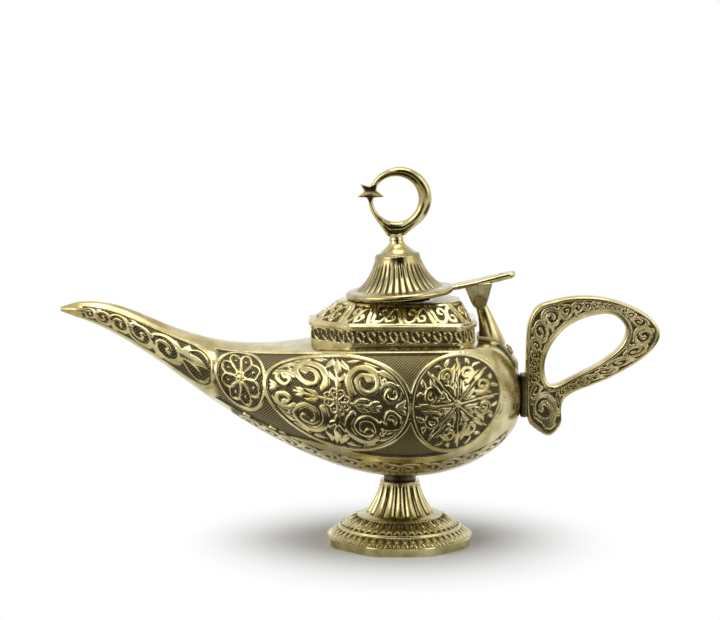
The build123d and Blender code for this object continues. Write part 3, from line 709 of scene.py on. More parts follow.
@dataclass(frozen=True)
class BrassFinish:
    """Cast brass, darkened in its hollows, partly as painted shade, and worn bright where hands and cloths
    reach.
    """

    name: str
    slot: Slot
    wear: Wear
    bright: str = "#D9CC99"
    warm: str = "#A2935A"
    dark: str = "#31250F"
    shine: float = 0.19
    lacquer: float = 0.3
    grain: float = 0.2
    dull: float = 0.5
    blotch_mm: float = 11.0
    pit_mm: float = 0.9
    wave_mm: float = 7.0
    hatch_mm: float = 0.95

    def material(self) -> bpy.types.Material:
        """Build the node material.

        Returns:
            The material.
        """
        made = bpy.data.materials.new(self.name)
        put = partial(add_node, empty_tree(made))
        place = put("TexCoord").outputs["Object"]
        # Blotches about as wide as a fingertip, where the lacquer of handling is thinner; pits of the sand
        # mould, which are near 0.3 mm but drawn wider so that they show; slow waves left by files and
        # buffs, which break up the reflections.
        blotch, pits, waves = (
            put(
                "TexNoise",
                {"Vector": place, "Scale": 1 / (size * MM), "Detail": detail, "Roughness": rough},
            ).outputs["Fac"]
            for size, detail, rough in (
                (self.blotch_mm, 4.0, 0.6),
                (self.pit_mm, 3.0, 0.65),
                (self.wave_mm, 1.0, 0.4),
            )
        )
        tone = put("MapRange", {0: blotch, 1: 0.34, 2: 0.66}).outputs[0]
        metal = put(
            "Mix", {0: tone, 6: linear(self.warm), 7: linear(self.bright)}, data_type="RGBA"
        ).outputs[2]
        grit = put(
            "MapRange", {0: pits, 1: 0.3, 2: 0.7, 3: -0.5 * self.grain, 4: 0.5 * self.grain}
        ).outputs[0]
        ground, height = linear(self.dark), pits
        if self.wear is Wear.CARVING:
            high = put("Attribute", attribute_name=Wear.CARVING.value).outputs["Fac"]
            ground, height = self.hatching(made.node_tree, pits)
        else:
            # Within about 1.6 mm of an inner corner the colour turns dark, for grime and as painted shade.
            shade = put("AmbientOcclusion", {"Distance": 1.6 * MM}, samples=8).outputs["AO"]
            high = put("MapRange", {0: shade, 1: 0.5, 2: 0.96}).outputs[0]
        # How bright each point is: a rubbed high place, or a place clear of corners and of their painted
        # shade.
        rubbed_and_unshaded = put("Math", {0: high, 1: grit}, operation="ADD", use_clamp=True).outputs[0]
        colour = put("Mix", {0: rubbed_and_unshaded, 6: ground, 7: metal}, data_type="RGBA").outputs[2]
        gloss = put(
            "MapRange", {0: blotch, 1: 0.3, 2: 0.7, 3: self.shine + 0.08, 4: self.shine - 0.04}
        ).outputs[0]
        rough = put("Mix", {0: rubbed_and_unshaded, 2: self.dull, 3: gloss}, data_type="FLOAT").outputs[0]
        bare = put("MapRange", {0: rubbed_and_unshaded, 2: 0.6, 3: 0.65}).outputs[0]
        coat = put("Math", {0: rubbed_and_unshaded, 1: self.lacquer}, operation="MULTIPLY").outputs[0]
        uneven = put("Bump", {"Strength": 0.2, "Distance": 0.7 * MM, "Height": waves}).outputs["Normal"]
        bumps = put(
            "Bump",
            {"Strength": self.grain, "Distance": 0.12 * MM, "Height": height, "Normal": uneven},
        ).outputs["Normal"]
        shader = put(
            "BsdfPrincipled",
            {"Base Color": colour, "Metallic": bare, "Roughness": rough, "Normal": bumps,
             "Coat Weight": coat, "Coat Roughness": 0.1},
        )
        put("OutputMaterial", {"Surface": shader.outputs["BSDF"]})
        return made

    def hatching(
        self, tree: bpy.types.NodeTree, pits: bpy.types.NodeSocket
    ) -> tuple[bpy.types.NodeSocket, bpy.types.NodeSocket]:
        """Chased hatch lines on the sunk ground, along the piece's own chart.

        Args:
            tree: The material's tree.
            pits: Height of the pits.

        Returns:
            The ground's colour and the height for the bump.
        """
        put = partial(add_node, tree)
        chart = put("Attribute", attribute_name="chart").outputs["Vector"]
        sunk = put("Attribute", attribute_name="hatch").outputs["Fac"]
        # A wave texture's lines are 2 pi / (20 scale) apart. Real ones are near 0.6 mm; they are drawn
        # wider so that they show.
        scale = 2 * math.pi / (20 * self.hatch_mm)
        lines = []
        for slant in (40, -46):
            turn = (0, 0, math.radians(slant))
            turned = put("Mapping", {"Vector": chart, "Rotation": turn}).outputs["Vector"]
            lines.append(put(
                "TexWave",
                {"Vector": turned, "Scale": scale, "Distortion": 0.5, "Detail": 1.0, "Detail Scale": 0.5},
                wave_type="BANDS", bands_direction="X",
            ).outputs["Fac"])
        # Half hatching is lines one way, whole hatching is crossed lines.
        crossed = put("MapRange", {0: sunk, 1: 0.6, 2: 0.9}).outputs[0]
        second = put("Mix", {0: crossed, 2: 1.0, 3: lines[1]}, data_type="FLOAT").outputs[0]
        ridges = put("Math", {0: lines[0], 1: second}, operation="MULTIPLY").outputs[0]
        # Chisel lines along the strokes stay dark, so hatching fades out towards them.
        shown = put("MapRange", {0: sunk, 1: 0.1, 2: 0.5, 4: 0.6}).outputs[0]
        crest = put("MapRange", {0: ridges, 1: 0.25, 2: 0.75, 4: shown}).outputs[0]
        ground = put(
            "Mix", {0: crest, 6: linear(self.dark), 7: linear(self.warm)}, data_type="RGBA"
        ).outputs[2]
        cut = put("Math", {0: ridges, 1: sunk}, operation="MULTIPLY").outputs[0]
        height = put("Math", {0: cut, 1: 3.0, 2: pits}, operation="MULTIPLY_ADD").outputs[0]
        return ground, height


@dataclass
class Finishes:
    """The finishes of the lamp, each built once."""

    kept: dict[str, bpy.types.Material] = field(default_factory=dict)

    def of(self, finish: BrassFinish) -> bpy.types.Material:
        """The material of a finish.

        Args:
            finish: The finish.

        Returns:
            Its material.
        """
        if finish.name not in self.kept:
            self.kept[finish.name] = finish.material()
        return self.kept[finish.name]

    def dress(self, piece: Piece, finish: BrassFinish, body: Body, *nodes: str) -> Piece:
        """Give a new piece its material and body, and hide the CAD nodes that it stands for.

        Args:
            piece: The piece.
            finish: Its finish.
            body: The body that it moves with.
            *nodes: CAD nodes that it stands for.

        Returns:
            The piece.
        """
        piece.data.materials.append(self.of(finish))
        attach(piece, body.value)
        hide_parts(*nodes)
        return piece

    def dress_node(self, node: str, finish: BrassFinish) -> Piece:
        """Give a CAD node that stays its material.

        Args:
            node: The node.
            finish: Its finish.

        Returns:
            The node's object.
        """
        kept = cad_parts[node]
        if not kept.material_slots:
            kept.data.materials.append(None)
        for place in kept.material_slots:
            place.material = self.of(finish)
        return kept


# Sand-cast brass, chased by hand: dark hatched ground, raised lines with a soft polish.
CHASED = BrassFinish("chased_cast_brass", Slot.CAST, Wear.CARVING)
# Sand-cast brass, filed and buffed: broad soft reflections with faint pits and grime in corners.
BUFFED = BrassFinish("buffed_cast_brass", Slot.CAST, Wear.HOLLOWS, shine=0.2)
# Turned and polished brass: the clearest reflections on the lamp.
TURNED = BrassFinish("turned_polished_brass", Slot.TURNED, Wear.HOLLOWS, shine=0.13, grain=0.08)
# Turned brass with painted shade in its fine grooves: dark pinstripes over a soft polish.
FLUTED = BrassFinish(
    "fluted_turned_brass", Slot.CAST, Wear.CARVING,
    bright="#B9AC7B", warm="#87794A", shine=0.17, grain=0.12,
)
# Chased brass that is held often: paler on its lines, browner in its ground and softer in its polish.
HANDLED = BrassFinish(
    "handled_chased_brass", Slot.CAST, Wear.CARVING,
    bright="#E0D29B", warm="#A6965B", dark="#2A1F0D", shine=0.24,
)
# Cast brass painted nearly black brown as shade, for the neck ring under the hull and the pad between the
# handle and the heel.
PAINTED_SHADE_BRASS = BrassFinish(
    "grimy_cast_brass", Slot.CAST, Wear.HOLLOWS,
    bright="#7A6C45", warm="#3F3522", dark="#17120A", shine=0.4,
)
# Peened and screwed brass: dull, browned by age.
PEENED = BrassFinish(
    "peened_aged_brass", Slot.RIVET, Wear.HOLLOWS, bright="#BFA768", warm="#8F7A42", shine=0.34
)


# Hull


@dataclass
class HullForm:
    """The hull's outer surface, from the CAD's own stations."""

    spout_reach: float = 141.0
    rear_reach: float = 50.0
    half_width: float = 40.5
    keel_z: float = 28.8
    deck_z: float = 86.8
    spout_rise: float = 15.0
    beam_share: float = 0.50
    band_width: float = 0.80
    band_height: float = 0.215
    heel_round: float = 4.0
    tip_round: float = 8.0
    lap: float = 6.0
    under_lap: float = 3.0
    soft: float = 3.2
    deck_steps: int = 60
    flank_steps: int = 180
    # Along the spout (-) or rear (+), top, keel and width shares, edge and drop shares
    stations: tuple[tuple[float, ...], ...] = (
        (-1.000, 0.905, 0.930, 0.046, 0.60, 0.22),
        (-0.936, 0.993, 0.899, 0.094, 0.60, 0.20),
        (-0.837, 0.907, 0.811, 0.165, 0.58, 0.18),
        (-0.723, 0.500, 0.674, 0.240, 0.56, 0.15),
        (-0.610, 0.100, 0.515, 0.345, 0.52, 0.11),
        (-0.468, -0.150, 0.329, 0.540, 0.46, 0.06),
        (-0.319, -0.137, 0.170, 0.765, 0.50, 0.035),
        (-0.156, -0.033, 0.047, 0.945, 0.69, 0.02),
        (0.080, 0.000, 0.000, 1.000, 0.74, 0.015),
        (0.440, 0.000, 0.038, 0.950, 0.74, 0.015),
        (0.680, -0.033, 0.105, 0.793, 0.69, 0.02),
        (0.840, -0.220, 0.185, 0.577, 0.62, 0.05),
        (0.950, -0.640, 0.265, 0.349, 0.60, 0.10),
        (1.000, -0.870, 0.305, 0.230, 0.60, 0.14),
    )

    def places(self) -> Array:
        """X of every station."""
        shares = np.array(self.stations)[:, 0]
        return shares * np.where(shares < 0, self.spout_reach, self.rear_reach)

    def lines(self) -> Array:
        """Main sizes of every station.

        Returns:
            Five rows: top, keel, half width, edge and drop.
        """
        _, top, keel, width, edge, drop = np.array(self.stations).T
        high = self.deck_z + top * self.spout_rise
        low = self.keel_z + keel * (self.deck_z + self.spout_rise - self.keel_z)
        half = width * self.half_width
        return np.stack([high, low, half, edge * half, drop * (high - low)])

    def arcs(self) -> Array:
        """Half sections at the stations: the deck from its crown, the flank, and the underside to its keel.

        Returns:
            Stations by places by 2: distance from the middle plane, and height.
        """
        lines = self.lines()
        shares = np.linspace(0, 1, self.deck_steps)
        top, keel, half, edge, drop = lines[:, :, None]
        radius = (edge**2 + drop**2) / (2 * drop)
        angle = np.arcsin(edge / radius) * shares
        deck = np.stack([radius * np.sin(angle), top - radius + radius * np.cos(angle)], axis=2)
        flanks = []
        for high, low, wide, shoulder, fall in lines.T:
            start = (shoulder, high - fall)
            middle = (wide, low + self.beam_share * (high - low))
            end = (self.band_width * wide, low + self.band_height * (high - low))
            flanks.append(arc_through((start, middle, end), self.flank_steps))
        wide, rise = self.band_width * half, self.band_height * (top - keel)
        radius = (wide**2 + rise**2) / (2 * rise)
        angle = np.arcsin(wide / radius) * shares[::-1]
        below = np.stack([radius * np.sin(angle), keel + radius - radius * np.cos(angle)], axis=2)
        return np.concatenate([deck, np.array(flanks)[:, 1:], below[:, 1:]], axis=1)

    def sheet(self, xs: Array) -> Array:
        """Lay the half sections as a smooth sheet, drawn in at the heel and the spout's tip.

        Args:
            xs: The columns' X.

        Returns:
            Rows by columns by 2: distance from the middle plane, and height.
        """
        weights = spline_weights(self.places(), xs)
        points = np.einsum("cs,srk->rck", weights, self.arcs())
        past = np.clip(xs - (self.rear_reach - self.heel_round), 0, self.heel_round)
        inset = self.heel_round - np.sqrt(self.heel_round**2 - past**2)
        middle = np.stack([0 * xs, weights @ self.lines()[:2].mean(axis=0)], axis=1)
        shrink = 1 - inset / (0.5 * (self.deck_z - self.keel_z) * 0.2 + self.half_width * 0.1)
        tip = np.clip(-xs - self.spout_reach + self.tip_round, 0, self.tip_round) / self.tip_round
        shrink = shrink * (1 - 0.55 * tip**2)
        return middle + (points - middle) * shrink[:, None]

    def half_skin(self, rows: Array, xs: Array, side: Side) -> tuple[Array, Array, Array]:
        """One side from crown to keel as one sheet, with a soft shoulder and a soft lower edge.

        Args:
            rows: Places across: -2 crown, -1 lap on the deck, 0 shoulder, 1 band, 2 lap below it, 3 keel.
            xs: The columns' X.
            side: Front or back.

        Returns:
            Rows by columns by 3, each point's place as a share of the flank's length, and that length.
        """
        fine = self.sheet(xs)
        steps = np.linalg.norm(np.diff(fine, axis=0), axis=2)
        run = np.concatenate([np.zeros((1, len(xs))), np.cumsum(steps, axis=0)])
        shoulder = self.deck_steps - 1
        run = run - run[shoulder]
        crown, length, keel = run[0], run[shoulder + self.flank_steps - 1], run[-1]
        lap = np.maximum(-self.lap, 0.4 * crown)
        under = length + np.minimum(self.under_lap, 0.3 * (keel - length))
        points = np.zeros((len(rows), len(xs), 3))
        spots = np.zeros((len(rows), len(xs)))
        points[:, :, 0] = xs
        offsets = np.linspace(-0.9, 0.9, 9)
        weights = (1 - np.abs(offsets)) / (1 - np.abs(offsets)).sum()
        for j in range(len(xs)):
            ends = [crown[j], lap[j], 0, length[j], under[j], keel[j]]
            spot = np.interp(rows, [-2, -1, 0, 1, 2, 3], ends)
            room = np.minimum(spot - crown[j], keel[j] - spot)
            reach = np.minimum(room, min(self.soft, 0.2 * length[j]))
            for offset, weight in zip(offsets, weights):
                for axis in (0, 1):
                    near = np.interp(spot + offset * reach, run[:, j], fine[:, j, axis])
                    points[:, j, axis + 1] += weight * near
            spots[:, j] = spot / length[j]
        points[:, :, 1] *= side.value
        return points, spots, length

    @staticmethod
    def both_sides(half: Array) -> Array:
        """A front sheet and its mirror image, joined along the first row."""
        return np.concatenate([half[::-1], half[1:] * np.array([1, -1, 1])])

    def heart(self, points: Array) -> Array:
        """Inner points on the middle plane, for telling which way is out.

        Args:
            points: Rows by columns by 3.

        Returns:
            An inner point for each.
        """
        inner = points.copy()
        inner[:, :, 1] = 0.0
        inner[:, :, 2] = points[:, :, 2].mean(axis=0)
        return inner


@dataclass(frozen=True)
class Panel:
    """A chased oval on the flank: where it starts and ends, and the width of its rim, in mm."""

    start: float
    end: float
    rim: float

    @property
    def center(self) -> float:
        """Its middle."""
        return (self.start + self.end) / 2

    @property
    def half(self) -> float:
        """Half its length."""
        return (self.end - self.start) / 2


@dataclass
class Hull:
    """The boat-shaped hull with its spout: chased flanks, plain deck, scrolled underside."""

    finishes: Finishes
    form: HullForm = field(default_factory=HullForm)
    relief_depth: float = 0.75
    # Length of the flank from which the carving has its whole depth
    full_length: float = 24.0
    frieze_depth: float = 0.6
    frieze_half: float = 5.4
    frieze_drop: float = 3.4
    spout_panel: tuple[float, float] = (-132.0, -76.6)
    # The scroll panel goes on below the band, by a share of the flank's length.
    spout_low: float = 1.14
    flower_panel: Panel = Panel(-76.2, -54.8, 1.4)
    great_panel: Panel = Panel(-56.5, 4.7, 2.0)
    rear_panel: Panel = Panel(3.1, 42.3, 1.8)
    margin: float = 0.03
    groove_width: float = 0.55
    opening_radius: float = 17.0
    wall: float = 2.0
    columns: int = 540
    lap_rows: int = 17
    under_rows: int = 12
    rows: int = 152

    def build(self) -> list[Piece]:
        """Build and dress every piece of the hull.

        Returns:
            The pieces.
        """
        front, back = "body_front_half", "body_back_half"
        made = (
            (self.flank(Side.FRONT), CHASED, front),
            (self.flank(Side.BACK), CHASED, back),
            (self.deck(), CHASED, front, back),
            (self.underside(), CHASED, front, back),
            (self.heel(), BUFFED, front, back),
            (self.lining(), BUFFED, front, back),
        )
        return [self.finishes.dress(piece, finish, Body.LAMP, *nodes) for piece, finish, *nodes in made]

    def column_places(self) -> Array:
        """Where the columns stand, closer together along the belly than along the spout.

        Returns:
            X of the columns.
        """
        knots = np.array([0.0, 0.26, 1.0])
        ends = np.array([-self.form.spout_reach, self.flower_panel.start, self.form.rear_reach])
        return np.interp(np.linspace(0, 1, self.columns), knots, ends)

    def flank(self, side: Side) -> Piece:
        """Carve one flank.

        Args:
            side: Front or back.

        Returns:
            The piece.
        """
        rows = np.concatenate([
            np.linspace(-1, 0, self.lap_rows, endpoint=False),
            np.linspace(0, 1, self.rows),
            np.linspace(1, 2, self.under_rows)[1:],
        ])
        xs = self.column_places()
        points, shares, heights = self.form.half_skin(rows, xs, side)
        carving = self.flank_relief(xs, shares, heights)
        depth = self.relief_depth * np.clip(heights / self.full_length, 0.35, 1.0)
        normals = outward_normals(points, self.form.heart(points))
        points = points - normals * carving.sunk(depth)[:, :, None]
        name = f"flank_{side.name.lower()}"
        return lay_grid(name, points, carving.marks(), skirt=1.0, facing=(0, side.value, 0))

    def flank_relief(self, xs: Array, shares: Array, heights: Array) -> Carving:
        """Ornament of a flank.

        Args:
            xs: X of the columns.
            shares: Places of the points, 0 on the shoulder and 1 on the band.
            heights: Length of the flank at each column, in mm.

        Returns:
            The carving.
        """
        x = np.broadcast_to(xs, shares.shape)
        up = (0.5 - shares) / (0.5 - self.margin)
        made = Carving.plain(x, up * heights * (0.5 - self.margin))
        # Hatched belt that shows between the panels; towards the spout it goes on below the band.
        low = 1 - self.margin + (self.spout_low - 1 + self.margin) * smooth((-28.0 - x) / 30.0)
        room = np.minimum(shares - self.margin, low - shares) * heights
        belt = smooth(room / 0.3) * smooth((x - self.flower_panel.start + 1.0) / 3.0)
        belt *= x < self.rear_panel.center
        made.raised = 1 - belt
        made.hatch = 0.5 * smooth(room - 0.4) * belt
        for panel, strokes in (
            (self.flower_panel, self.flower_strokes),
            (self.great_panel, self.great_strokes),
            (self.rear_panel, self.rear_strokes),
        ):
            reach = float(np.interp(panel.center, xs, heights) * (0.5 - self.margin))
            p, q = x - panel.center, up * reach
            ring = np.hypot(p / panel.half, up)
            room = np.hypot(p, q) / np.maximum(ring, 1e-6)
            rim, inside = rim_band((1 - ring) * room, panel.rim, self.groove_width)
            relief = Relief(*hand_cut(p, q))
            edge = panel.rim + self.groove_width
            relief.draw(strokes(panel.half - edge, reach - edge))
            within = ring < 1.0
            risen = relief.raised()
            outside = np.maximum(made.raised, rim)
            made.raised = np.where(within, np.maximum(rim, inside * risen), outside)
            made.dome = np.where(within, inside * risen * (1 - smooth(relief.lift / 0.8)), made.dome)
            made.hatch = np.where(within, inside * relief.ground(), made.hatch * (ring > 1.0))
            made.chart = np.where(within[:, :, None], chart_of(p, q), made.chart)
        middle, span = (self.spout_low + self.margin) / 2, (self.spout_low - self.margin) / 2
        tall = np.broadcast_to(heights * span, shares.shape)
        self.spout_relief(x, (middle - shares) / span, tall, made)
        return made

    def spout_relief(self, x: Array, up: Array, height: Array, made: Carving) -> None:
        """Add the scroll panel that narrows along the spout.

        Args:
            x: X of every point.
            up: Place across the flank, -1 to 1.
            height: Half height of the flank at every point, in mm.
            made: The carving so far.
        """
        xs, halves = x[0], height[0]
        run = np.concatenate([[0.0], np.cumsum(np.diff(xs) / ((halves[1:] + halves[:-1]) / 2))])
        start, end = (float(np.interp(spot, xs, run)) for spot in self.spout_panel)
        along = np.broadcast_to(run, x.shape)
        relief = Relief(along, up, height)
        relief.draw(running_scroll(start + 0.3, end - 1.25, 0.72, 0.145))
        bud = [leaf((-0.5, 0.0), (0.35, 0.0), 0.12, 0.2), leaf((-0.4, 0.0), (0.2, -0.32), 0.1, 0.1)]
        relief.draw(moved(bud, shift=(end - 0.6, 0.05)))
        relief.draw([petal((end - 1.2, 0.0), 0.0, 0.0, 1.15, 0.62, 0.055)])
        side = (1 - np.abs(up)) * height
        ends = np.minimum(along - start, end - along) * height
        corner = np.hypot(np.maximum(0, along - end + 0.9), np.abs(up)) * height
        depth = np.minimum(np.minimum(side, ends), 0.98 * height - np.where(along > end - 0.9, corner, 0))
        rim_width = np.clip(0.11 * height, 0.4, 1.4)
        rim, inside = rim_band(depth, rim_width, 0.4 * rim_width)
        risen = relief.raised(0.16)
        within = depth > 0
        made.raised = np.where(within, np.maximum(rim, inside * risen), made.raised)
        made.dome = np.where(within, inside * risen * (1 - smooth(relief.lift / 0.6)), made.dome)
        made.hatch = np.where(within, inside * relief.ground(), made.hatch)

    def flower_strokes(self, half: float, reach: float) -> list[Stroke]:
        """An eight-petalled flower that fills its panel."""
        return moved(flower((0, 0), 8, 0.96 * half, 0.45, 22.5), (1.0, reach / half))

    def great_strokes(self, half: float, reach: float) -> list[Stroke]:
        """Four great scrolls around a flower, with small scrolls and leaves out to the rim.

        Args:
            half: Half length of the field, in mm.
            reach: Half height of the field, in mm.

        Returns:
            The strokes.
        """
        quarter = [
            spiral((11.5, 9.3), 7.5, 222.0, -1.5, 1.55, 0.3),
            spiral((21.5, 4.8), 4.3, 150.0, -1.15, 1.3, 0.32),
            leaf((16.6, 13.6), (24.0, 9.6), 0.8, 1.6),
            leaf((11.2, 17.5), (18.2, 14.9), 0.5, 1.3),
            leaf((4.4, 14.2), (1.7, 19.2), 0.6, 1.4),
            leaf((4.4, 17.9), (10.4, 18.9), -0.3, 1.0),
            leaf((0.6, 8.6), (3.2, 12.6), -0.6, 1.15),
            leaf((7.6, 0.7), (13.4, 2.1), 0.5, 1.05),
            leaf((13.4, 0.6), (17.2, 1.7), 0.3, 0.95),
            leaf((24.4, 0.6), (27.5, 3.0), -0.5, 1.1),
            leaf((24.4, 8.6), (26.6, 5.2), 0.5, 1.0),
            dot((19.0, 10.2), 0.95),
        ]
        middle = [
            line([(5.0, 0.0), (17.4, 0.0)], 0.6),
            leaf((24.0, 0.0), (28.2, 0.0), 0.0, 0.95),
            leaf((0.0, 5.0), (0.0, 11.4), 0.0, 1.25),
            leaf((0.0, 11.0), (0.0, 19.2), 0.0, 1.5),
        ]
        made = flower((0, 0), 8, 5.4, 0.48, 22.5)
        for across in (1.0, -1.0):
            for along in (1.0, -1.0):
                made += moved(quarter, (along, across))
            made += moved(middle, (across, across))
        return moved(made, (half / 28.0, reach / 19.6))

    def rear_strokes(self, half: float, reach: float) -> list[Stroke]:
        """Eight thin ribs with comma scrolls between them.

        Args:
            half: Half length of the field, in mm.
            reach: Half height of the field, in mm.

        Returns:
            The strokes.
        """
        rib = line([(1.4, 0.0), (17.0, 0.0)], 0.38)
        scroll = [
            spiral((11.2, 0.8), 3.1, 200.0, 1.15, 1.05, 0.3),
            leaf((3.2, 0.0), (8.4, 1.9), -0.6, 1.0),
            leaf((7.8, -1.3), (13.8, -4.5), 0.7, 1.1),
            leaf((8.6, 3.3), (14.4, 5.0), 0.4, 1.0),
            leaf((14.4, -0.8), (16.8, -3.6), 0.4, 0.9),
            leaf((14.8, 1.4), (16.6, 3.4), -0.3, 0.8),
            leaf((4.6, -0.7), (7.6, -2.3), 0.3, 0.65),
        ]
        made = [dot((0, 0), 1.5)]
        for k in range(8):
            made += moved([rib], turn=45.0 * k)
            made += moved(scroll, turn=45.0 * k + 22.5)
        return moved(made, (half / 17.2, reach / 17.2))

    def deck(self) -> Piece:
        """The plain deck and the top of the spout.

        Returns:
            The piece.
        """
        rows = np.linspace(-2, -1, 40)
        xs = self.column_places()
        points = self.form.both_sides(self.form.half_skin(rows, xs, Side.FRONT)[0])
        plain = Carving.plain(points[:, :, 0], points[:, :, 1])

        def open_mouth(bm: Mesh) -> None:
            """Cut the round opening under the collar.

            Args:
                bm: The deck.
            """
            reach = self.opening_radius * MM
            inner = [f for f in bm.faces if f.calc_center_median().xy.length < reach]
            bmesh.ops.delete(bm, geom=inner, context="FACES")
            for vert in bm.verts:
                if vert.is_boundary and vert.co.xy.length < 1.12 * reach:
                    flat = vert.co.xy.normalized() * reach
                    vert.co.x, vert.co.y = flat

        return lay_grid("hull_deck", points, plain.marks(), skirt=1.0, trim=open_mouth, facing=(0, 0, 1))

    def underside(self) -> Piece:
        """The underside, with a scroll frieze below each flank.

        Returns:
            The piece.
        """
        rows = np.linspace(3, 2, 90)
        xs = self.column_places()
        near, shares, lengths = self.form.half_skin(rows, xs, Side.FRONT)
        below = (shares - 1) * lengths
        x = np.broadcast_to(xs, below.shape)
        p, q = hand_cut(x, self.frieze_half + self.frieze_drop - below)
        relief = Relief(p, q)
        relief.draw(running_scroll(-66.0, 41.0, 4.1, 0.85))
        depth = np.minimum(self.frieze_half - np.abs(q), np.minimum(x + 70.0, 44.0 - x))
        made = Carving.plain(p, q)
        made.cut(slice(None), relief, depth, 0.2)
        points = self.form.both_sides(near)
        marks = {
            name: np.concatenate([values[::-1], values[1:]]) for name, values in made.marks().items()
        }
        normals = outward_normals(points, self.form.heart(points) + np.array([0, 0, 30.0]))
        points = points - normals * ((1 - marks["relief"]) * self.frieze_depth)[:, :, None]
        return lay_grid("hull_underside", points, marks, skirt=1.0, facing=(0, 0, -1))

    def outlines(self, xs: Array) -> Array:
        """Whole sections of the hull at xs, each from the crown round the front and back to it."""
        half = self.form.half_skin(np.linspace(-2, 3, 96), xs, Side.FRONT)[0].swapaxes(0, 1)
        return np.concatenate([half, half[:, -2::-1] * np.array([1, -1, 1])], axis=1)

    def heel(self) -> Piece:
        """The flat rear end behind the handle's pad.

        Returns:
            The piece.
        """
        edge = self.outlines(np.array([self.form.rear_reach]))[0]
        middle = edge.mean(axis=0)
        points = np.array([middle + (edge - middle) * share for share in np.linspace(1, 0, 12)])
        return lay_grid("hull_heel", points, weld=True, facing=(1, 0, 0))

    def lining(self) -> Piece:
        """The inner wall of the reservoir and the spout's bore.

        Returns:
            The piece.
        """
        xs = np.linspace(-self.form.spout_reach + 0.2, self.form.rear_reach - self.wall, 120)
        weights = spline_weights(self.form.places(), xs)
        widths = weights @ self.form.lines()[2]
        sections = self.outlines(xs)
        middles = sections.mean(axis=1, keepdims=True)
        share = 1 - np.clip(self.wall / np.maximum(widths, 2.4), 0, 0.5)[:, None, None]
        points = middles + (sections - middles) * share
        points[:, :, 0] = xs[:, None]

        def open_mouth(bm: Mesh) -> None:
            """Leave the filling opening clear.

            Args:
                bm: The lining.
            """
            reach, ceiling = self.opening_radius * MM, 70.0 * MM
            middles = ((face, face.calc_center_median()) for face in bm.faces)
            top = [face for face, spot in middles if spot.xy.length < reach and spot.z > ceiling]
            bmesh.ops.delete(bm, geom=top, context="FACES")

        # The wall's visible side is the one that faces up through the mouth.
        return lay_grid("hull_lining", points, weld=True, trim=open_mouth, facing=(0, 0, 1))


# Collar


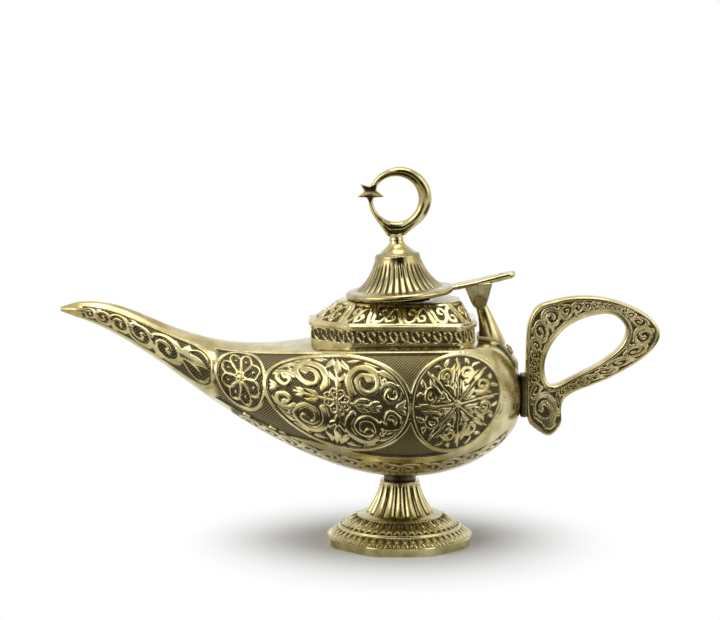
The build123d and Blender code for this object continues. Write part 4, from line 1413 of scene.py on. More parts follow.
@dataclass
class Collar:
    """The eight-sided mouth on the deck: two friezes with a plain lip between them."""

    finishes: Finishes
    lower: tuple[float, ...] = (37.0, 30.5, 22.6, 15.8, 13.0, 5.5, 8.5)
    upper: tuple[float, ...] = (24.6, 24.6, 14.6, 12.4, 8.4, 5.4, 8.0)
    deck_z: float = 86.8
    lip_z: float = 93.2
    upper_z: float = 94.6
    top_z: float = 102.8
    lip_reach: float = 0.9
    mouth_radius: float = 12.4
    wall: float = 2.0
    bed: float = 3.6
    soft: float = 0.28
    # Columns over which a corner is rounded
    corner: int = 8
    frieze_depth: float = 0.55
    pitch: float = 0.34

    @staticmethod
    def plan(sizes: tuple[float, ...], grow: float) -> Array:
        """Corners of an eight-sided outline.

        Args:
            sizes: Spout reach, rear reach, half width, and the two cuts of each kind of corner.
            grow: Outward growth.

        Returns:
            Eight points, the near side first.
        """
        spout, rear, half, spout_x, spout_y, rear_x, rear_y = sizes
        near = [
            (rear + grow, -(half - rear_y)),
            (rear - rear_x, -(half + grow)),
            (-(spout - spout_x), -(half + grow)),
            (-(spout + grow), -(half - spout_y)),
        ]
        return np.array(near + [(x, -y) for x, y in reversed(near)])

    def build(self) -> list[Piece]:
        """Build and dress the collar.

        Returns:
            The pieces.
        """
        corners = self.plan(self.lower, 0.0)
        sides = np.roll(corners, -1, axis=0) - corners
        lengths = np.hypot(sides[:, 0], sides[:, 1])
        places = []
        for number, length in enumerate(lengths):
            inset = self.soft / length
            count = max(8, round(length / self.pitch))
            places += [(number, share) for share in np.linspace(inset, 1 - inset, count)]
        number = np.array([p[0] for p in places] + [places[0][0]])
        share = np.array([p[1] for p in places] + [places[0][1]])

        def ring(sizes: tuple[float, ...], grow: float, z: float) -> Array:
            """One row of points on an eight-sided level with soft corners.

            Args:
                sizes: The level's sizes, as for plan.
                grow: Outward growth.
                z: Its height.

            Returns:
                The points, the first repeated at the end.
            """
            plan = self.plan(sizes, grow)
            start, end = plan[number], np.roll(plan, -1, axis=0)[number]
            flat = start + (end - start) * share[:, None]
            steps = np.arange(1 - self.corner, self.corner)
            laps = [np.roll(flat[:-1], step, axis=0) for step in steps]
            soft = np.average(laps, axis=0, weights=self.corner - np.abs(steps))
            flat = np.vstack([soft, soft[:1]])
            return np.column_stack([flat, np.full(len(flat), z)])

        top_ring = ring(self.upper, 0.0, self.top_z)
        mouth = top_ring.copy()
        mouth[:, :2] *= (self.mouth_radius / np.hypot(mouth[:, 0], mouth[:, 1]))[:, None]
        deep = np.array([0, 0, -self.wall])
        low = self.deck_z - self.bed
        levels = [
            (ring(self.lower, 0.0, low), 1),
            (ring(self.lower, 0.0, self.lip_z), 34),
            (ring(self.lower, self.lip_reach, self.lip_z), 3),
            (ring(self.lower, self.lip_reach, self.upper_z), 5),
            (ring(self.lower, -self.lip_reach, self.upper_z), 4),
            (top_ring, 40),
            (mouth, 6),
            (mouth + deep, 3),
            (ring(self.upper, -self.wall, self.top_z - self.wall), 3),
            (ring(self.lower, -self.wall - self.lip_reach, self.lip_z), 4),
            (ring(self.lower, -self.wall, low), 4),
            (ring(self.lower, 0.0, low), 2),
        ]
        rows, tiers, ups = self.soft_rows(levels)
        points = np.array(rows)
        along = np.concatenate([[0.0], np.cumsum(lengths)])[number] + share * lengths[number]
        along[-1] += lengths.sum()
        carving = self.friezes(np.array(tiers), np.array(ups), along, float(lengths.sum()))
        normals = outward_normals(points, np.zeros(3))
        outer = np.isin(np.array(tiers), (1, 5))[:, None]
        sign = np.where(np.sum(normals[:, :, :2] * points[:, :, :2], axis=2) < 0, -1.0, 1.0)
        points = points - normals * (sign * outer * carving.sunk(self.frieze_depth))[:, :, None]
        piece = lay_grid("collar_shell", points, carving.marks(), weld=True, trim=mark_creases)
        return [self.finishes.dress(piece, CHASED, Body.LAMP, "collar")]

    def soft_rows(self, levels: list[tuple[Array, int]]) -> tuple[list[Array], list[int], list[float]]:
        """Rows between levels, with a small bevel at each level.

        Args:
            levels: A ring of points, and how many rows lead to it.

        Returns:
            The rows, the number of the level that each leads to, and its share of the way.
        """
        rows, tiers, ups = [levels[0][0]], [0], [0.0]
        for number in range(1, len(levels)):
            start, (end, count) = levels[number - 1][0], levels[number]
            far = np.linalg.norm(end - start, axis=1).mean()
            inset = min(0.3, 0.6 * self.soft / max(far, 1e-6))
            for share in np.linspace(inset, 1 - inset, count):
                rows.append(start + (end - start) * share)
                tiers.append(number)
                ups.append(float(share))
        rows.append(levels[-1][0])
        tiers.append(len(levels))
        ups.append(1.0)
        return rows, tiers, ups

    def friezes(self, tiers: Array, ups: Array, along: Array, total: float) -> Carving:
        """Ornament of both tiers, running on round the corners.

        Args:
            tiers: Level of each row.
            ups: Place of each row between its levels.
            along: Way of each column round the collar, in mm.
            total: Whole way round.

        Returns:
            The carving.
        """
        blank = np.zeros((len(tiers), len(along)))
        made = Carving.plain(blank, blank)
        low = self.lip_z - self.deck_z
        for tier, draw, high, start, size, edge in (
            (1, self.ring_strokes, low, 0.36, 1.0, 0.8),
            (5, self.crook_strokes, 10.6, 0.0, 0.9, 1.2),
        ):
            rows = np.nonzero(tiers == tier)[0]
            p, q = np.meshgrid(along * size, ((ups[rows] - start) / (1 - start) - 0.5) * high)
            relief = Relief(*hand_cut(p, q, 0.1))
            half = high / 2 - edge
            relief.draw(draw(total * size, half))
            made.cut(rows, relief, half - np.abs(relief.q), 0.15)
        return made

    @staticmethod
    def crook_strokes(total: float, high: float) -> list[Stroke]:
        """Upper frieze: pairs of slanting crooks, each the other turned round.

        Args:
            total: Way round the collar, in mm.
            high: Half height of the field, in mm.

        Returns:
            The strokes.
        """
        count = round(total / 12.6)
        step = total / count
        bends = [
            (-1.6, -3.6), (0.4, 0.2), (2.0, 3.0), (3.6, 3.0), (5.2, 1.2),
            (5.4, -1.2), (4.2, -2.7), (2.7, -2.2), (2.6, -0.7), (3.7, -0.3),
        ]
        crook = curve(bends, 0.82, 0.85)
        wide, tall = step / 13.2, high / 3.7
        made = []
        for k in range(-1, count + 1):
            x = (k + 0.5) * step
            made += moved([crook], (wide, tall), shift=(x + 0.75, 0))
            made += moved([crook], (-wide, -tall), shift=(x - 0.75, 0))
        return made

    @staticmethod
    def ring_strokes(total: float, high: float) -> list[Stroke]:
        """Lower frieze: a row of slanting oval rings.

        Args:
            total: Way round the collar, in mm.
            high: Half height of the field, in mm.

        Returns:
            The strokes.
        """
        count = round(total / 4.5)
        step = total / count
        made = []
        for k in range(-1, count + 1):
            x = (k + 0.5) * step
            made.append(petal((x - 0.4 * high, -1.05 * high), 66.0, 0.0, 2.25 * high, 1.25, 0.36))
        return made


# Foot


@dataclass
class Foot:
    """The pedestal: filed rim, zigzag tier, leafy tier and fluted stem."""

    finishes: Finishes
    radius: float = 30.5
    rim_height: float = 3.6
    flat_apothem: float = 29.0
    flats: int = 8
    lower_radius: float = 25.4
    step_z: float = 7.2
    upper_z: float = 7.8
    upper_radius: float = 17.4
    stem_z: float = 12.2
    stem: Spots = ((14.4, 12.9), (10.5, 18.9), (8.3, 25.4))
    top_z: float = 26.6
    bore: float = 2.7
    wall: float = 2.2
    flutes: int = 16
    flute_depth: float = 1.2
    steps: int = 600
    chevrons: int = 52
    leaves: int = 24
    frieze_depth: float = 0.55
    # Thickness of the plate under the neck ring
    plate: float = 3.8

    def build(self) -> list[Piece]:
        """Build and dress the foot.

        Returns:
            The pieces.
        """
        corners = [
            ((self.radius - self.wall, 0.0), 0, "plain"),
            ((self.radius, 0.0), 2, "plain"),
            ((self.radius, self.rim_height), 8, "rim"),
            ((self.lower_radius, self.step_z), 22, "zigzag"),
            ((self.lower_radius, self.upper_z), 3, "plain"),
            ((self.upper_radius, self.stem_z), 28, "leaves"),
            (self.stem[0], 5, "plain"),
        ]
        rows = [(*corners[0][0], "plain", 0.0)]
        for (start, _, _), (end, count, kind) in zip(corners, corners[1:]):
            inset = min(0.3, 0.16 / math.dist(start, end))
            for share in np.linspace(inset, 1 - inset, count):
                rows.append((*np.add(start, share * np.subtract(end, start)), kind, share))
        shares = np.linspace(0, 1, 34)
        stem = arc_through(self.stem, len(shares))
        rows += [(*spot, "flutes", share) for spot, share in zip(stem, shares)]
        root, waist, top = self.stem
        inner = [
            (top[0], self.top_z - 0.2), (top[0] - 0.2, self.top_z), (self.bore, self.top_z),
            (self.bore, self.top_z - self.plate), (top[0] - self.wall, self.top_z - self.plate),
            (waist[0] - self.wall, waist[1]), (root[0] - self.wall, self.stem_z - 1.1),
            (self.lower_radius - self.wall, self.step_z - self.wall),
            (self.radius - self.wall, self.rim_height - self.wall), (self.radius - self.wall, 0.0),
        ]
        rows += [(*spot, "plain", 0.0) for spot in inner]
        spots = np.array([row[:2] for row in rows], float)
        return [self.turn(spots, np.array([row[2] for row in rows]), np.array([row[3] for row in rows]))]

    def turn(self, spots: Array, kinds: Array, shares: Array) -> Piece:
        """Turn the profile round the axis and carve it.

        Args:
            spots: Radius and height of each row.
            kinds: What each row is carved with.
            shares: Place of each row on its slope.

        Returns:
            The dressed piece.
        """
        angles = np.linspace(0, 2 * np.pi, self.steps + 1)
        radius = np.repeat(spots[:, :1], len(angles), axis=1)
        height = np.repeat(spots[:, 1:], len(angles), axis=1)
        turn = 2 * np.pi / self.flats
        off = (angles + turn / 2) % turn - turn / 2
        filed = (spots[:, 0] >= self.radius - 0.5) & (spots[:, 1] <= self.rim_height)
        radius[filed] = np.minimum(radius[filed], self.flat_apothem / np.cos(off))
        made = Carving.plain(0 * radius, 0 * radius)
        for kind, draw, count, high in (
            ("zigzag", self.zigzag_strokes, self.chevrons, 6.2),
            ("leaves", self.leaf_strokes, self.leaves, 9.1),
        ):
            rows = np.nonzero(kinds == kind)[0]
            mean = spots[rows, 0].mean()
            pitch = 2 * np.pi * mean / count
            p, q = np.meshgrid((angles * mean) % pitch - pitch / 2, (shares[rows] - 0.5) * high)
            relief = Relief(p, q)
            relief.draw(draw(pitch, high / 2 - 0.5))
            made.cut(rows, relief, high / 2 - 0.6 - np.abs(q), 0.15)
            made.chart[rows, :, 0] = angles * mean
        rows = np.nonzero(kinds == "flutes")[0]
        pitch = 2 * np.pi / self.flutes
        bow = np.abs((angles + pitch / 2) % pitch - pitch / 2) / (pitch / 2)
        ease = smooth(np.minimum(shares[rows], 1 - shares[rows]) / 0.05)[:, None]
        # The creases between the stem's lobes count as low ground, which the finish paints dark as shade.
        made.raised[rows] = 1 - ease * smooth((bow - 0.76) / 0.22)
        normals = np.gradient(spots, axis=0)
        normals = np.stack([normals[:, 1], -normals[:, 0]], axis=1)
        normals /= np.linalg.norm(normals, axis=1, keepdims=True)
        sunk = made.sunk(self.frieze_depth)
        sunk[rows] = self.flute_depth * ease * bow**2.5
        radius = radius - normals[:, :1] * sunk
        height = height - normals[:, 1:] * sunk
        points = np.stack([radius * np.cos(angles), radius * np.sin(angles), height], axis=2)
        piece = lay_grid("foot_shell", points, made.marks(), weld=True, trim=mark_creases)
        return self.finishes.dress(piece, CHASED, Body.LAMP, "foot")

    @staticmethod
    def zigzag_strokes(pitch: float, high: float) -> list[Stroke]:
        """One chevron of the zigzag with a seed under it.

        Args:
            pitch: Width of the chevron, in mm.
            high: Half height of the field, in mm.

        Returns:
            The strokes.
        """
        half = pitch / 2
        return [
            line([(-half - 0.2, -high), (0, high), (half + 0.2, -high)], 0.62),
            leaf((0, -1.1 * high), (0, 0.1 * high), 0, 0.62),
        ]

    @staticmethod
    def leaf_strokes(pitch: float, high: float) -> list[Stroke]:
        """One leaf of the ring with a curl on each side.

        Args:
            pitch: Way from leaf to leaf, in mm.
            high: Half height of the field, in mm.

        Returns:
            The strokes.
        """
        half = pitch / 2
        return [
            leaf((0, -high), (0, high), 0, 0.95),
            spiral((0.55 * half, -0.25 * high), 0.36 * half, 200.0, 0.9, 0.4),
            spiral((-0.55 * half, -0.25 * high), 0.36 * half, 340.0, -0.9, 0.4),
            leaf((half, -high), (0.55 * half, 0.9 * high), -0.2, 0.6),
            leaf((-half, -high), (-0.55 * half, 0.9 * high), 0.2, 0.6),
        ]


# Handle


@dataclass
class Handle:
    """The loop with its drop tail, chased on both faces, and the pad behind it."""

    finishes: Finishes
    left: float = 52.1
    reach: float = 55.698
    height: float = 58.3
    thickness: float = 7.0
    round: float = 1.2
    columns: int = 640
    face_rows: int = 32
    inner_band: float = 1.3
    outer_band: float = 0.5
    depth: float = 0.6
    crown: float = 0.12
    heel: float = 50.0
    pad_size: Spot = (3.2, 8.0, 18.0)
    pad_rise: float = 0.29
    outline: Spots = (
        (0.004, 0.640), (0.018, 0.806), (0.083, 0.928), (0.194, 0.971), (0.327, 0.998), (0.535, 0.999),
        (0.729, 0.956), (0.871, 0.892), (0.968, 0.812), (1.000, 0.733), (0.971, 0.654), (0.876, 0.561),
        (0.736, 0.474), (0.558, 0.388), (0.380, 0.323), (0.285, 0.250), (0.271, 0.156), (0.271, 0.091),
        (0.227, 0.026), (0.168, 0.001), (0.093, 0.040), (0.033, 0.091), (0.009, 0.185), (0.000, 0.388),
    )
    opening: Spots = (
        (0.144, 0.474), (0.162, 0.590), (0.228, 0.705), (0.316, 0.790), (0.434, 0.848), (0.553, 0.876),
        (0.656, 0.869), (0.732, 0.805), (0.747, 0.740), (0.712, 0.654), (0.616, 0.568), (0.498, 0.496),
        (0.350, 0.424), (0.231, 0.370), (0.171, 0.381),
    )
    # Which place of the opening faces which place of the outline
    pairs: Spots = (
        (0, 0.9), (2, 2), (4, 3.4), (5, 4.8), (6, 6), (7, 6.6), (8, 7.2), (9, 8), (10, 8.8), (11, 10),
        (12, 11), (13, 11.9), (14, 12.7), (15, 13.15), (19, 13.6), (22, 14.1), (23, 14.6), (24, 15.9),
    )

    def build(self) -> list[Piece]:
        """Build and dress the loop and its pad.

        Returns:
            The pieces.
        """
        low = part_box("handle")[0].z / MM
        outer, inner = self.edges(low)
        across = outer - inner
        width = np.hypot(across[:, 0], across[:, 1])
        away = across / width[:, None]
        places, ys = self.section_rows(width)
        points = upright(inner + away * places[:, :, None], ys[:, None])
        carving = self.scrollwork(width, inner, outer, places, ys)
        points[:, :, 1] -= np.sign(ys)[:, None] * carving.sunk(self.depth)
        # Both faces are a little crowned from rubbing.
        points[:, :, 1] *= 1 - self.crown * (2 * places / width - 1) ** 2
        loop = lay_grid("handle_loop", points, carving.marks(), weld=True)
        self.finishes.dress(loop, HANDLED, Body.LAMP, "handle")
        # The pad is painted nearly black brown as shade.
        pad = self.finishes.dress(self.pad(), PAINTED_SHADE_BRASS, Body.LAMP, "handle")
        return [loop, pad]

    def edges(self, low: float) -> tuple[Array, Array]:
        """Facing points of the outline and the opening.

        Args:
            low: Height of the handle's lowest point, in mm.

        Returns:
            Points in XZ of the outline and of the opening, the first repeated at the end.
        """
        fine = np.linspace(0, len(self.outline), 2401)
        size = np.array([self.reach, self.height])
        line_points = loop_spline(self.outline, fine) * size
        run = lengths_along(line_points)
        places = np.interp(np.linspace(0, run[-1], self.columns + 1), run, fine)
        outer = loop_spline(self.outline, places) * size
        keys = np.array(self.pairs)
        lap = np.array([len(self.outline), len(self.opening)])
        laps = np.vstack([keys - lap, keys[1:], keys[1:] + lap])
        facing = soften_loop(np.interp(places, laps[:, 0], laps[:, 1]), 12, lap[1])
        inner = loop_spline(self.opening, facing) * size
        base = np.array([self.left, low - outer[:, 1].min()])
        return outer + base, inner + base

    def section_rows(self, width: Array) -> tuple[Array, Array]:
        """Rows round the section.

        Args:
            width: Width of the strip at each column, in mm.

        Returns:
            The rows' places across the strip at each column, and their Y.
        """
        half = self.thickness / 2
        turn = np.linspace(0, np.pi / 2, 6)[1:]
        face = self.round + np.linspace(0, 1, self.face_rows)[:, None] * (width - 2 * self.round)
        corner = width - self.round * (1 - np.sin(turn))[:, None]
        rise = self.round * (1 - np.cos(turn)) - half
        places = np.vstack([face, corner, corner[::-1]])
        ys = np.concatenate([np.full(self.face_rows, -half), rise, -rise[::-1]])
        # The second half is the first one turned round, and the first row closes the section.
        return np.vstack([places, width - places, places[:1]]), np.concatenate([ys, -ys, ys[:1]])

    def scrollwork(self, width: Array, inner: Array, outer: Array, places: Array, ys: Array) -> Carving:
        """Scrolls along both faces, between a plain inner band and a plain edge.

        Args:
            width: Width of the strip at each column.
            inner: The opening's points.
            outer: The outline's points.
            places: The rows' places across the strip.
            ys: The rows' Y.

        Returns:
            The carving.
        """
        low, high = self.round + self.inner_band, width - self.round - self.outer_band
        half = np.maximum((high - low) / 2, 0.6)
        middle = inner + (outer - inner) * ((low + half) / width)[:, None]
        steps = np.linalg.norm(np.diff(middle, axis=0), axis=1)
        scale = soften_loop(half, 20)
        run = np.concatenate([[0.0], np.cumsum(steps / ((scale[1:] + scale[:-1]) / 2))])
        across = (places - low - half) / scale
        along = np.broadcast_to(run, across.shape)
        made = Carving.plain(along * scale, across * scale)
        face = np.abs(ys) >= self.thickness / 2 - 1e-6
        relief = Relief(along[face], across[face], scale)
        relief.draw(running_scroll(0.0, float(run[-1]), 0.78, 0.17))
        made.cut(face, relief, half - np.abs(places[face] - low - half), 0.15)
        return made

    def pad(self) -> Piece:
        """The block between the loop and the hull's heel, with soft edges.

        Returns:
            The piece.
        """
        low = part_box("handle")[0]
        bm = bmesh.new()
        bmesh.ops.create_cube(bm, size=1.0)
        middle = Vector((self.heel + self.pad_size[0] / 2, 0.0, low.z / MM + self.pad_rise * self.height))
        bmesh.ops.scale(bm, vec=Vector(self.pad_size) * MM, verts=bm.verts)
        bmesh.ops.translate(bm, vec=middle * MM, verts=bm.verts)
        bmesh.ops.bevel(
            bm, geom=bm.edges[:], offset=1.0 * MM, offset_type="OFFSET", affect="EDGES",
            segments=4, profile=0.5, material=-1,
        )
        return make_object("handle_pad", bm)


# Lid


@dataclass(frozen=True)
class LidSeat:
    """The leaning frame that the lid shares with its finial."""

    z: float = 104.477
    tilt: float = 4.0

    def axes(self) -> Array:
        """Its own X, Y and Z as rows."""
        across, up = heading(self.tilt), heading(self.tilt + 90)
        return upright(np.array([across, (0.0, 0.0), up]), np.array([0.0, 1.0, 0.0]))

    def place(self, points: Array) -> Array:
        """Put its own points on the lamp."""
        return points @ self.axes() + np.array([0.0, 0.0, self.z])


SEAT = LidSeat()


@dataclass
class Lid:
    """The fluted bell with its soft flange, the thumb lever and two hinge ears."""

    finishes: Finishes
    # Radius and height of the flange's edge, of the bell's arc and of the crown, above the seat
    flange: Spots = ((21.9, 0.0), (22.6, 0.8), (22.6, 1.8), (21.7, 2.7))
    bell: Spots = ((18.0, 3.0), (13.2, 7.615), (9.2, 17.2))
    crown: tuple[float, float] = (8.2, 17.8)
    bore: float = 1.6
    wall: float = 1.9
    flutes: int = 36
    flute_depth: float = 0.45
    lever_root: float = 17.5
    lever_reach: float = 48.2
    lever_rise: float = 4.2
    lever_half: tuple[float, float] = (4.8, 3.5)
    lever_thick: tuple[float, float] = (2.0, 2.75)
    hole_inset: float = 6.0
    hole_radius: float = 0.9
    pivot: tuple[float, float] = (32.47, -4.45)
    ear_top: float = 3.1
    ear_span: float = 12.2
    ear_radius: float = 3.2
    ear_depth: tuple[float, float] = (2.45, 4.65)
    pin_hole: float = 1.45

    def build(self) -> list[Piece]:
        """Build and dress the lid's pieces.

        Returns:
            The pieces.
        """
        made = [self.finishes.dress(self.fluted_bell(), FLUTED, Body.LID, "lid")]
        for piece in (self.lever(), self.ear(Side.FRONT), self.ear(Side.BACK)):
            made.append(self.finishes.dress(piece, BUFFED, Body.LID, "lid"))
        return made

    def fluted_bell(self) -> Piece:
        """Turn the bell and its flange, and cut the flutes.

        Returns:
            The piece.
        """
        base, waist, crown = (np.array(spot) for spot in self.bell)
        floor = self.crown[1] - self.wall
        thin = np.array([self.wall, 0.0])
        outer = arc_through(self.bell, 80)
        inner = arc_through(((crown[0] - self.wall, floor), waist - thin, (base[0] - self.wall, 0.0)), 80)
        ring, top = self.crown
        cap = [(ring, crown[1]), (ring, top), (self.bore, top), (self.bore, floor)]
        loop = np.vstack([inner[-1:], self.flange, outer, cap, inner])
        shares = np.zeros(len(loop))
        first = 1 + len(self.flange)
        shares[first : first + len(outer)] = np.linspace(0, 1, len(outer))
        run = lengths_along(loop)
        fine = np.arange(0, run[-1], 0.1)
        sharp = np.column_stack([np.interp(fine, run, loop[:, axis]) for axis in (0, 1)])
        # Corners are rounded over 1.2 mm, and every fourth point is kept.
        soft = np.mean([np.roll(sharp, step, axis=0) for step in range(-6, 7)], axis=0)[::4]
        share = np.interp(fine, run, shares)[::4]
        rows, share = np.vstack([soft, soft[:1]]), np.append(share, share[0])
        angles = np.linspace(0, 2 * np.pi, 12 * self.flutes + 1)
        ease = smooth(share / 0.06) * smooth((0.86 - share) / 0.2)
        groove = ease[:, None] * smooth(np.cos(self.flutes * angles) / 0.8)
        along = np.gradient(rows, axis=0)
        out = np.stack([along[:, 1], -along[:, 0]], axis=1)
        out /= np.linalg.norm(out, axis=1, keepdims=True) + 1e-9
        radius = rows[:, :1] - out[:, :1] * self.flute_depth * groove
        height = rows[:, 1:] - out[:, 1:] * self.flute_depth * groove
        points = np.stack([radius * np.cos(angles), radius * np.sin(angles), height], axis=2)
        # The flutes' grooves count as low ground, which the finish paints dark as shade.
        carving = Carving(1 - groove, 0 * groove, points, 0 * groove)
        return lay_grid("lid_bell", SEAT.place(points), carving.marks(), weld=True)

    def lever(self) -> Piece:
        """The thumb lever: thin at its root, round at its tip, with a small hole.

        Returns:
            The piece.
        """
        wide_root, wide_tip = self.lever_half
        turn = self.lever_reach - wide_tip
        ends = turn + wide_tip * np.sin(np.linspace(0, np.pi / 2, 16))
        xs = np.concatenate([[self.lever_root], np.linspace(self.lever_root, turn, 52), ends[1:]])
        end = np.sqrt(1 - np.clip((xs - turn) / wide_tip, 0, 1) ** 2)
        wide = np.interp(xs, [self.pivot[0], turn], [wide_root, wide_tip]) * end
        thin, thick = self.lever_thick
        # Hammer marks leave the strip a little uneven.
        deep = thin + (thick - thin) * smooth((xs - 20) / 20) + 0.08 * np.sin(1.1 * xs)
        deep = deep * (0.4 + 0.6 * np.sqrt(end))
        wide[0] = deep[0] = 0.0
        share = (xs - self.lever_root) / (self.lever_reach - self.lever_root)
        middle = 1.4 + self.lever_rise * (0.6 * share + 0.4 * share**2)
        across = np.sin(np.linspace(-np.pi / 2, np.pi / 2, 21))
        bulge = np.sqrt(1 - across**8)
        sides = np.concatenate([across, across[::-1][1:]])[:, None]
        ups = np.concatenate([bulge, -bulge[::-1][1:]])[:, None]
        high = middle + ups * deep / 2
        points = np.stack([np.broadcast_to(xs, high.shape), sides * wide, high], axis=2)
        along, seat = Vector(SEAT.axes()[0]), Vector((0, 0, SEAT.z * MM))

        def drill(bm: Mesh) -> None:
            """Open the small hole near the tip.

            Args:
                bm: The lever.
            """
            reach, place = self.hole_radius * MM, (self.lever_reach - self.hole_inset) * MM

            def off(spot: Vector) -> Vector:
                """Where a point lies beside the hole's axis."""
                return Vector(((spot - seat).dot(along) - place, spot.y))

            inner = [face for face in bm.faces if off(face.calc_center_median()).length < reach]
            bmesh.ops.delete(bm, geom=inner, context="FACES")
            for vert in bm.verts:
                if vert.is_boundary:
                    step = off(vert.co).normalized() * reach - off(vert.co)
                    vert.co += along * step.x + Vector((0, step.y, 0))
            bmesh.ops.bridge_loops(bm, edges=[edge for edge in bm.edges if edge.is_boundary])
            mark_creases(bm)

        return lay_grid("lid_lever", SEAT.place(points), weld=True, trim=drill)

    def ear(self, side: Side) -> Piece:
        """One ear, which hangs from the lever beside the hinge's eye.

        Args:
            side: Front or back.

        Returns:
            The piece.
        """
        angle = np.linspace(0, 2 * np.pi, 97)
        away = np.stack([np.cos(angle), np.sin(angle)], axis=1)
        half, top = self.ear_span / 2, self.ear_top - self.pivot[1]
        reach = hull_reach(away, (0.0, 0.0), self.ear_radius, ((-half, top), (half, top)))
        low, high = self.ear_depth
        edge, hole = 0.4, np.full(len(angle), self.pin_hole)
        far = np.array([hole, reach - edge, reach, reach, reach - edge, hole, hole])
        ys = side.value * np.array([low, low, low + edge, high - edge, high, high, low])
        points = upright(np.array(self.pivot) + far[:, :, None] * away, ys[:, None])
        name = f"lid_ear_{side.name.lower()}"
        return lay_grid(name, SEAT.place(points), weld=True, trim=mark_creases)


# Finial


@dataclass
class Finial:
    """The crescent and star on the lid, with the neck and shank that hold them."""

    finishes: Finishes
    boss_top: float = 23.1
    ring_center: tuple[float, float] = (-0.21, 144.52)
    ring_radius: float = 13.096
    hole_center: tuple[float, float] = (-1.91, 144.32)
    hole_radius: float = 9.4
    neck_spots: Spots = ((1.68, 129.25), (-5.11, 128.78))
    half_thickness: float = 2.1
    star_center: tuple[float, float] = (-12.44, 147.12)
    # Angle and reach of each of the star's points
    star_points: Spots = (
        (55, 5.4), (140, 5.5), (199, 5.7), (271, 5.6), (343, 6.1),
    )
    star_inner: float = 2.6
    star_thickness: float = 2.8
    shank_radius: float = 1.5

    def build(self) -> list[Piece]:
        """Build, dress and return the finial's pieces."""
        pieces = [self.crescent(), self.star(), self.neck()]
        return [self.finishes.dress(piece, TURNED, Body.LID, "finial") for piece in pieces]

    def crescent(self) -> Piece:
        """The closed crescent, rounded all along.

        Returns:
            The piece.
        """
        angle = np.linspace(0, 2 * np.pi, 241)
        away = np.stack([np.cos(angle), np.sin(angle)], axis=1)
        hole = np.array(self.hole_center)
        shift = np.array(self.ring_center) - hole
        # The outline is the ring's circle drawn down to the neck.
        spots = [np.array(spot) - hole for spot in self.neck_spots]
        reach = hull_reach(away, shift, self.ring_radius, spots)
        middle = hole + away * ((reach + self.hole_radius) / 2)[:, None]
        half = (reach - self.hole_radius) / 2
        rows = []
        for turn in np.linspace(0, 2 * np.pi, 29):
            flat = middle + away * (half * math.cos(turn))[:, None]
            deep = self.half_thickness * math.sin(turn) * np.clip(half / 1.9, 0.45, 1.0)
            rows.append(upright(flat, deep))
        return lay_grid("finial_crescent", np.array(rows), weld=True)

    def star(self) -> Piece:
        """The five-pointed star with bevelled edges.

        Returns:
            The piece.
        """
        turns = [turn for turn, _ in self.star_points]
        spots = []
        for (turn, reach), following in zip(self.star_points, turns[1:] + [turns[0] + 360]):
            spots += [reach * heading(turn), self.star_inner * heading((turn + following) / 2)]
        bm = bmesh.new()
        made = bmesh.ops.create_circle(bm, cap_ends=True, segments=len(spots), radius=1.0)["verts"]
        order = sorted(made, key=lambda vert: math.atan2(vert.co.y, vert.co.x) % (2 * math.pi))
        half = self.star_thickness / 2
        for vert, (x, z) in zip(order, spots):
            vert.co = Vector((self.star_center[0] + x, -half, self.star_center[1] + z)) * MM
        grown = bmesh.ops.extrude_face_region(bm, geom=bm.faces[:])["geom"]
        risen = [vert for vert in grown if isinstance(vert, bmesh.types.BMVert)]
        bmesh.ops.translate(bm, vec=Vector((0, 2 * half * MM, 0)), verts=risen)
        bmesh.ops.recalc_face_normals(bm, faces=bm.faces)
        bmesh.ops.bevel(
            bm, geom=bm.edges[:], offset=0.5 * MM, offset_type="OFFSET", affect="EDGES",
            segments=3, profile=0.5, material=-1,
        )
        mark_creases(bm)
        return make_object("finial_star", bm)

    def neck(self) -> Piece:
        """The waisted neck under the crescent and the shank that goes down into the lid.

        Returns:
            The piece.
        """
        side, _, axis = (Vector(way) for way in SEAT.axes())
        bottom = (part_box("finial")[0].z / MM - SEAT.z) / axis.z + 0.1
        top = self.boss_top
        profile = [
            (0.0, bottom), (self.shank_radius - 0.3, bottom), (self.shank_radius, bottom + 0.3),
            (self.shank_radius, top), (3.0, top), (2.95, top + 0.3), (2.75, top + 0.8), (2.65, top + 1.3),
            (2.75, top + 1.8), (2.7, top + 2.6), (0.0, top + 3.0),
        ]
        bm = bmesh.new()
        base = Vector((0, 0, SEAT.z))
        verts = [bm.verts.new((base + axis * along + side * radius) * MM) for radius, along in profile]
        edges = [bm.edges.new(pair) for pair in zip(verts, verts[1:])]
        bmesh.ops.spin(
            bm, geom=verts + edges, cent=base * MM, axis=axis, dvec=(0, 0, 0), angle=2 * math.pi,
            steps=48, use_merge=True, use_duplicate=False,
        )
        bmesh.ops.remove_doubles(bm, verts=bm.verts, dist=1e-6)
        bmesh.ops.recalc_face_normals(bm, faces=bm.faces)
        mark_creases(bm)
        return make_object("finial_neck", bm)


# Hinge and fasteners: CAD nodes that stay


@dataclass
class Fittings:
    """The boss, the hinge and the fasteners, whose CAD shapes are right as they are."""

    finishes: Finishes
    kept: tuple[tuple[BrassFinish, tuple[str, ...]], ...] = (
        (TURNED, ("finial_boss",)),
        (BUFFED, ("hinge_bracket",)),
        # The neck ring is painted nearly black brown as shade.
        (PAINTED_SHADE_BRASS, ("neck_ring",)),
        (PEENED, ("bracket_rivets", "hinge_pin", "foot_bolt", "foot_bolt_washer", "foot_washer", "foot_nut")),
        (PEENED, ("finial_washer", "finial_nut", "handle_screw", "handle_washer")),
    )

    def build(self) -> list[Piece]:
        """Dress the nodes and return their objects."""
        return [self.finishes.dress_node(node, finish) for finish, nodes in self.kept for node in nodes]


# Studio


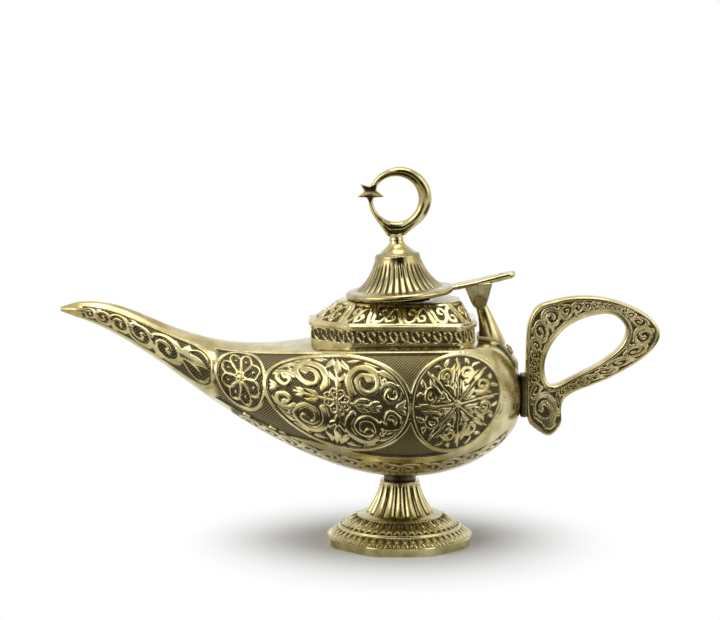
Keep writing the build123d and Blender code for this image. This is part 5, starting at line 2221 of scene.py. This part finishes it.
@dataclass
class Studio:
    """White floor, soft light and the camera."""

    camera_place: Spot = (-0.01667, -1.0, 0.236)
    camera_tilt: float = 7.85
    lens: float = 121.55
    sensor: float = 36.0
    fill: float = 0.2
    floor_size: float = 4.0
    shadow_reach: tuple[float, float] = (0.028, 0.095)
    aim: Spot = (-0.01, 0.0, 0.07)

    def build(self) -> None:
        """Set the world, the floor, the dark cards, the lamps and the camera."""
        scene = bpy.context.scene
        scene.view_settings.view_transform = "Standard"
        self.set_world(scene)
        self.lay_floor()
        # Size along the axes, middle and colour of each card
        self.hang_card("card_front", (3.0, 0.0, 0.9), (0.1, -2.0, 0.45), "#1E1B17")
        self.hang_card("card_high", (1.3, 0.0, 2.6), (0.42, -2.0, 2.2), "#1E1B17")
        self.hang_card("card_floor", (0.26, 0.79, 0.0), (-0.03, -0.465, 0.002), "#38332B")
        self.hang_card("card_side", (0.5, 0.5, 0.0), (0.44, -0.2, 0.002), "#5A5347")
        for name, place, size, power in (
            ("softbox_left", (-1.3, -0.7, 0.9), 1.0, 8.0),
            ("softbox_right", (1.3, -0.6, 0.8), 1.0, 4.0),
            ("softbox_top", (0.0, -0.15, 1.7), 1.2, 12.0),
        ):
            self.hang_lamp(name, place, size, power)
        data = bpy.data.cameras.new("photo_camera")
        data.lens, data.sensor_width, data.sensor_fit = self.lens, self.sensor, "HORIZONTAL"
        camera = bpy.data.objects.new("photo_camera", data)
        camera.location = self.camera_place
        camera.rotation_euler = (math.radians(90 - self.camera_tilt), 0.0, 0.0)
        scene.collection.objects.link(camera)
        scene.camera = camera

    def seen_directly(self, tree: bpy.types.NodeTree) -> bpy.types.NodeSocket:
        """A factor that is 1 for what the camera, the metal's mirror or glass sees.

        Args:
            tree: The tree that takes the nodes.

        Returns:
            The factor.
        """
        rays = add_node(tree, "LightPath")
        seen = rays.outputs["Is Camera Ray"]
        for kind in ("Is Glossy Ray", "Is Transmission Ray"):
            seen = add_node(tree, "Math", {0: seen, 1: rays.outputs[kind]}, operation="MAXIMUM").outputs[0]
        return seen

    def set_world(self, scene: bpy.types.Scene) -> None:
        """White to look at, dimmer as a light.

        Args:
            scene: The scene.
        """
        world = bpy.data.worlds.new("studio_white")
        scene.world = world
        tree = empty_tree(world)
        put = partial(add_node, tree)
        seen = self.seen_directly(tree)
        strength = put("Mix", {0: seen, 2: self.fill, 3: 1.0}, data_type="FLOAT").outputs[0]
        sky = put("Background", {"Color": linear("#FFFFFF"), "Strength": strength})
        put("OutputWorld", {"Surface": sky.outputs[0]})

    def lay_floor(self) -> None:
        """A plain white floor that takes the shadow and runs out into the white background."""
        bm = bmesh.new()
        bmesh.ops.create_grid(bm, x_segments=1, y_segments=1, size=self.floor_size)
        floor = make_object("floor", bm)
        made = bpy.data.materials.new("white_paper_floor")
        tree = empty_tree(made)
        put = partial(add_node, tree)
        place = put("TexCoord").outputs["Object"]
        away = put("VectorMath", {0: place}, operation="LENGTH").outputs["Value"]
        near, far = self.shadow_reach
        fade = put("MapRange", {0: away, 1: near, 2: far}, interpolation_type="SMOOTHSTEP").outputs[0]
        seen = self.seen_directly(tree)
        paper = put("BsdfDiffuse", {"Color": linear("#F4F4F4")}).outputs[0]
        white = put("Emission", {"Color": linear("#FFFFFF"), "Strength": 1.0}).outputs[0]
        shown = put("MixShader", {0: fade, 1: paper, 2: white}).outputs[0]
        mixed = put("MixShader", {0: seen, 1: paper, 2: shown}).outputs[0]
        put("OutputMaterial", {"Surface": mixed})
        floor.data.materials.append(made)

    def hang_card(self, name: str, size: Spot, place: Spot, colour: str) -> None:
        """Set up a dark card, which only the metal's reflections show.

        Args:
            name: Name of the card.
            size: Its size along the axes, one of them 0, in metres.
            place: Its middle, in metres.
            colour: Its colour.
        """
        bm = bmesh.new()
        bmesh.ops.create_grid(bm, x_segments=1, y_segments=1, size=0.5)
        if size[1] == 0:
            bmesh.ops.rotate(bm, verts=bm.verts, matrix=Matrix.Rotation(math.pi / 2, 3, "X"))
        bmesh.ops.scale(bm, vec=size, verts=bm.verts)
        bmesh.ops.translate(bm, vec=place, verts=bm.verts)
        card = make_object(name, bm)
        made = bpy.data.materials.new(f"{name}_dark")
        put = partial(add_node, empty_tree(made))
        grey = put("Emission", {"Color": linear(colour), "Strength": 1.0})
        put("OutputMaterial", {"Surface": grey.outputs[0]})
        card.data.materials.append(made)
        card.visible_camera = False
        card.visible_diffuse = False
        card.visible_shadow = False

    def hang_lamp(self, name: str, place: Spot, size: float, power: float) -> None:
        """Hang a square softbox that faces the lamp's body.

        Args:
            name: Name of the lamp.
            place: Where it hangs, in metres.
            size: Side of the square, in metres.
            power: Power in watts.
        """
        data = bpy.data.lights.new(name, "AREA")
        data.shape, data.size, data.energy = "SQUARE", size, power
        lamp = bpy.data.objects.new(name, data)
        lamp.location = place
        way = Vector(self.aim) - Vector(place)
        lamp.rotation_euler = way.to_track_quat("-Z", "Y").to_euler()
        bpy.context.scene.collection.objects.link(lamp)


def main() -> None:
    """Build the lamp's pieces in order, then the studio."""
    logging.basicConfig(level=logging.INFO, format="%(message)s")
    finishes = Finishes()
    for kind in (Hull, Collar, Foot, Handle, Lid, Finial, Fittings):
        for piece in kind(finishes).build():
            log.info("%s: %d faces, %s", piece.name, len(piece.data.polygons), piece.material_slots[0].name)
    Studio().build()


if __name__ == "__main__":
    main()
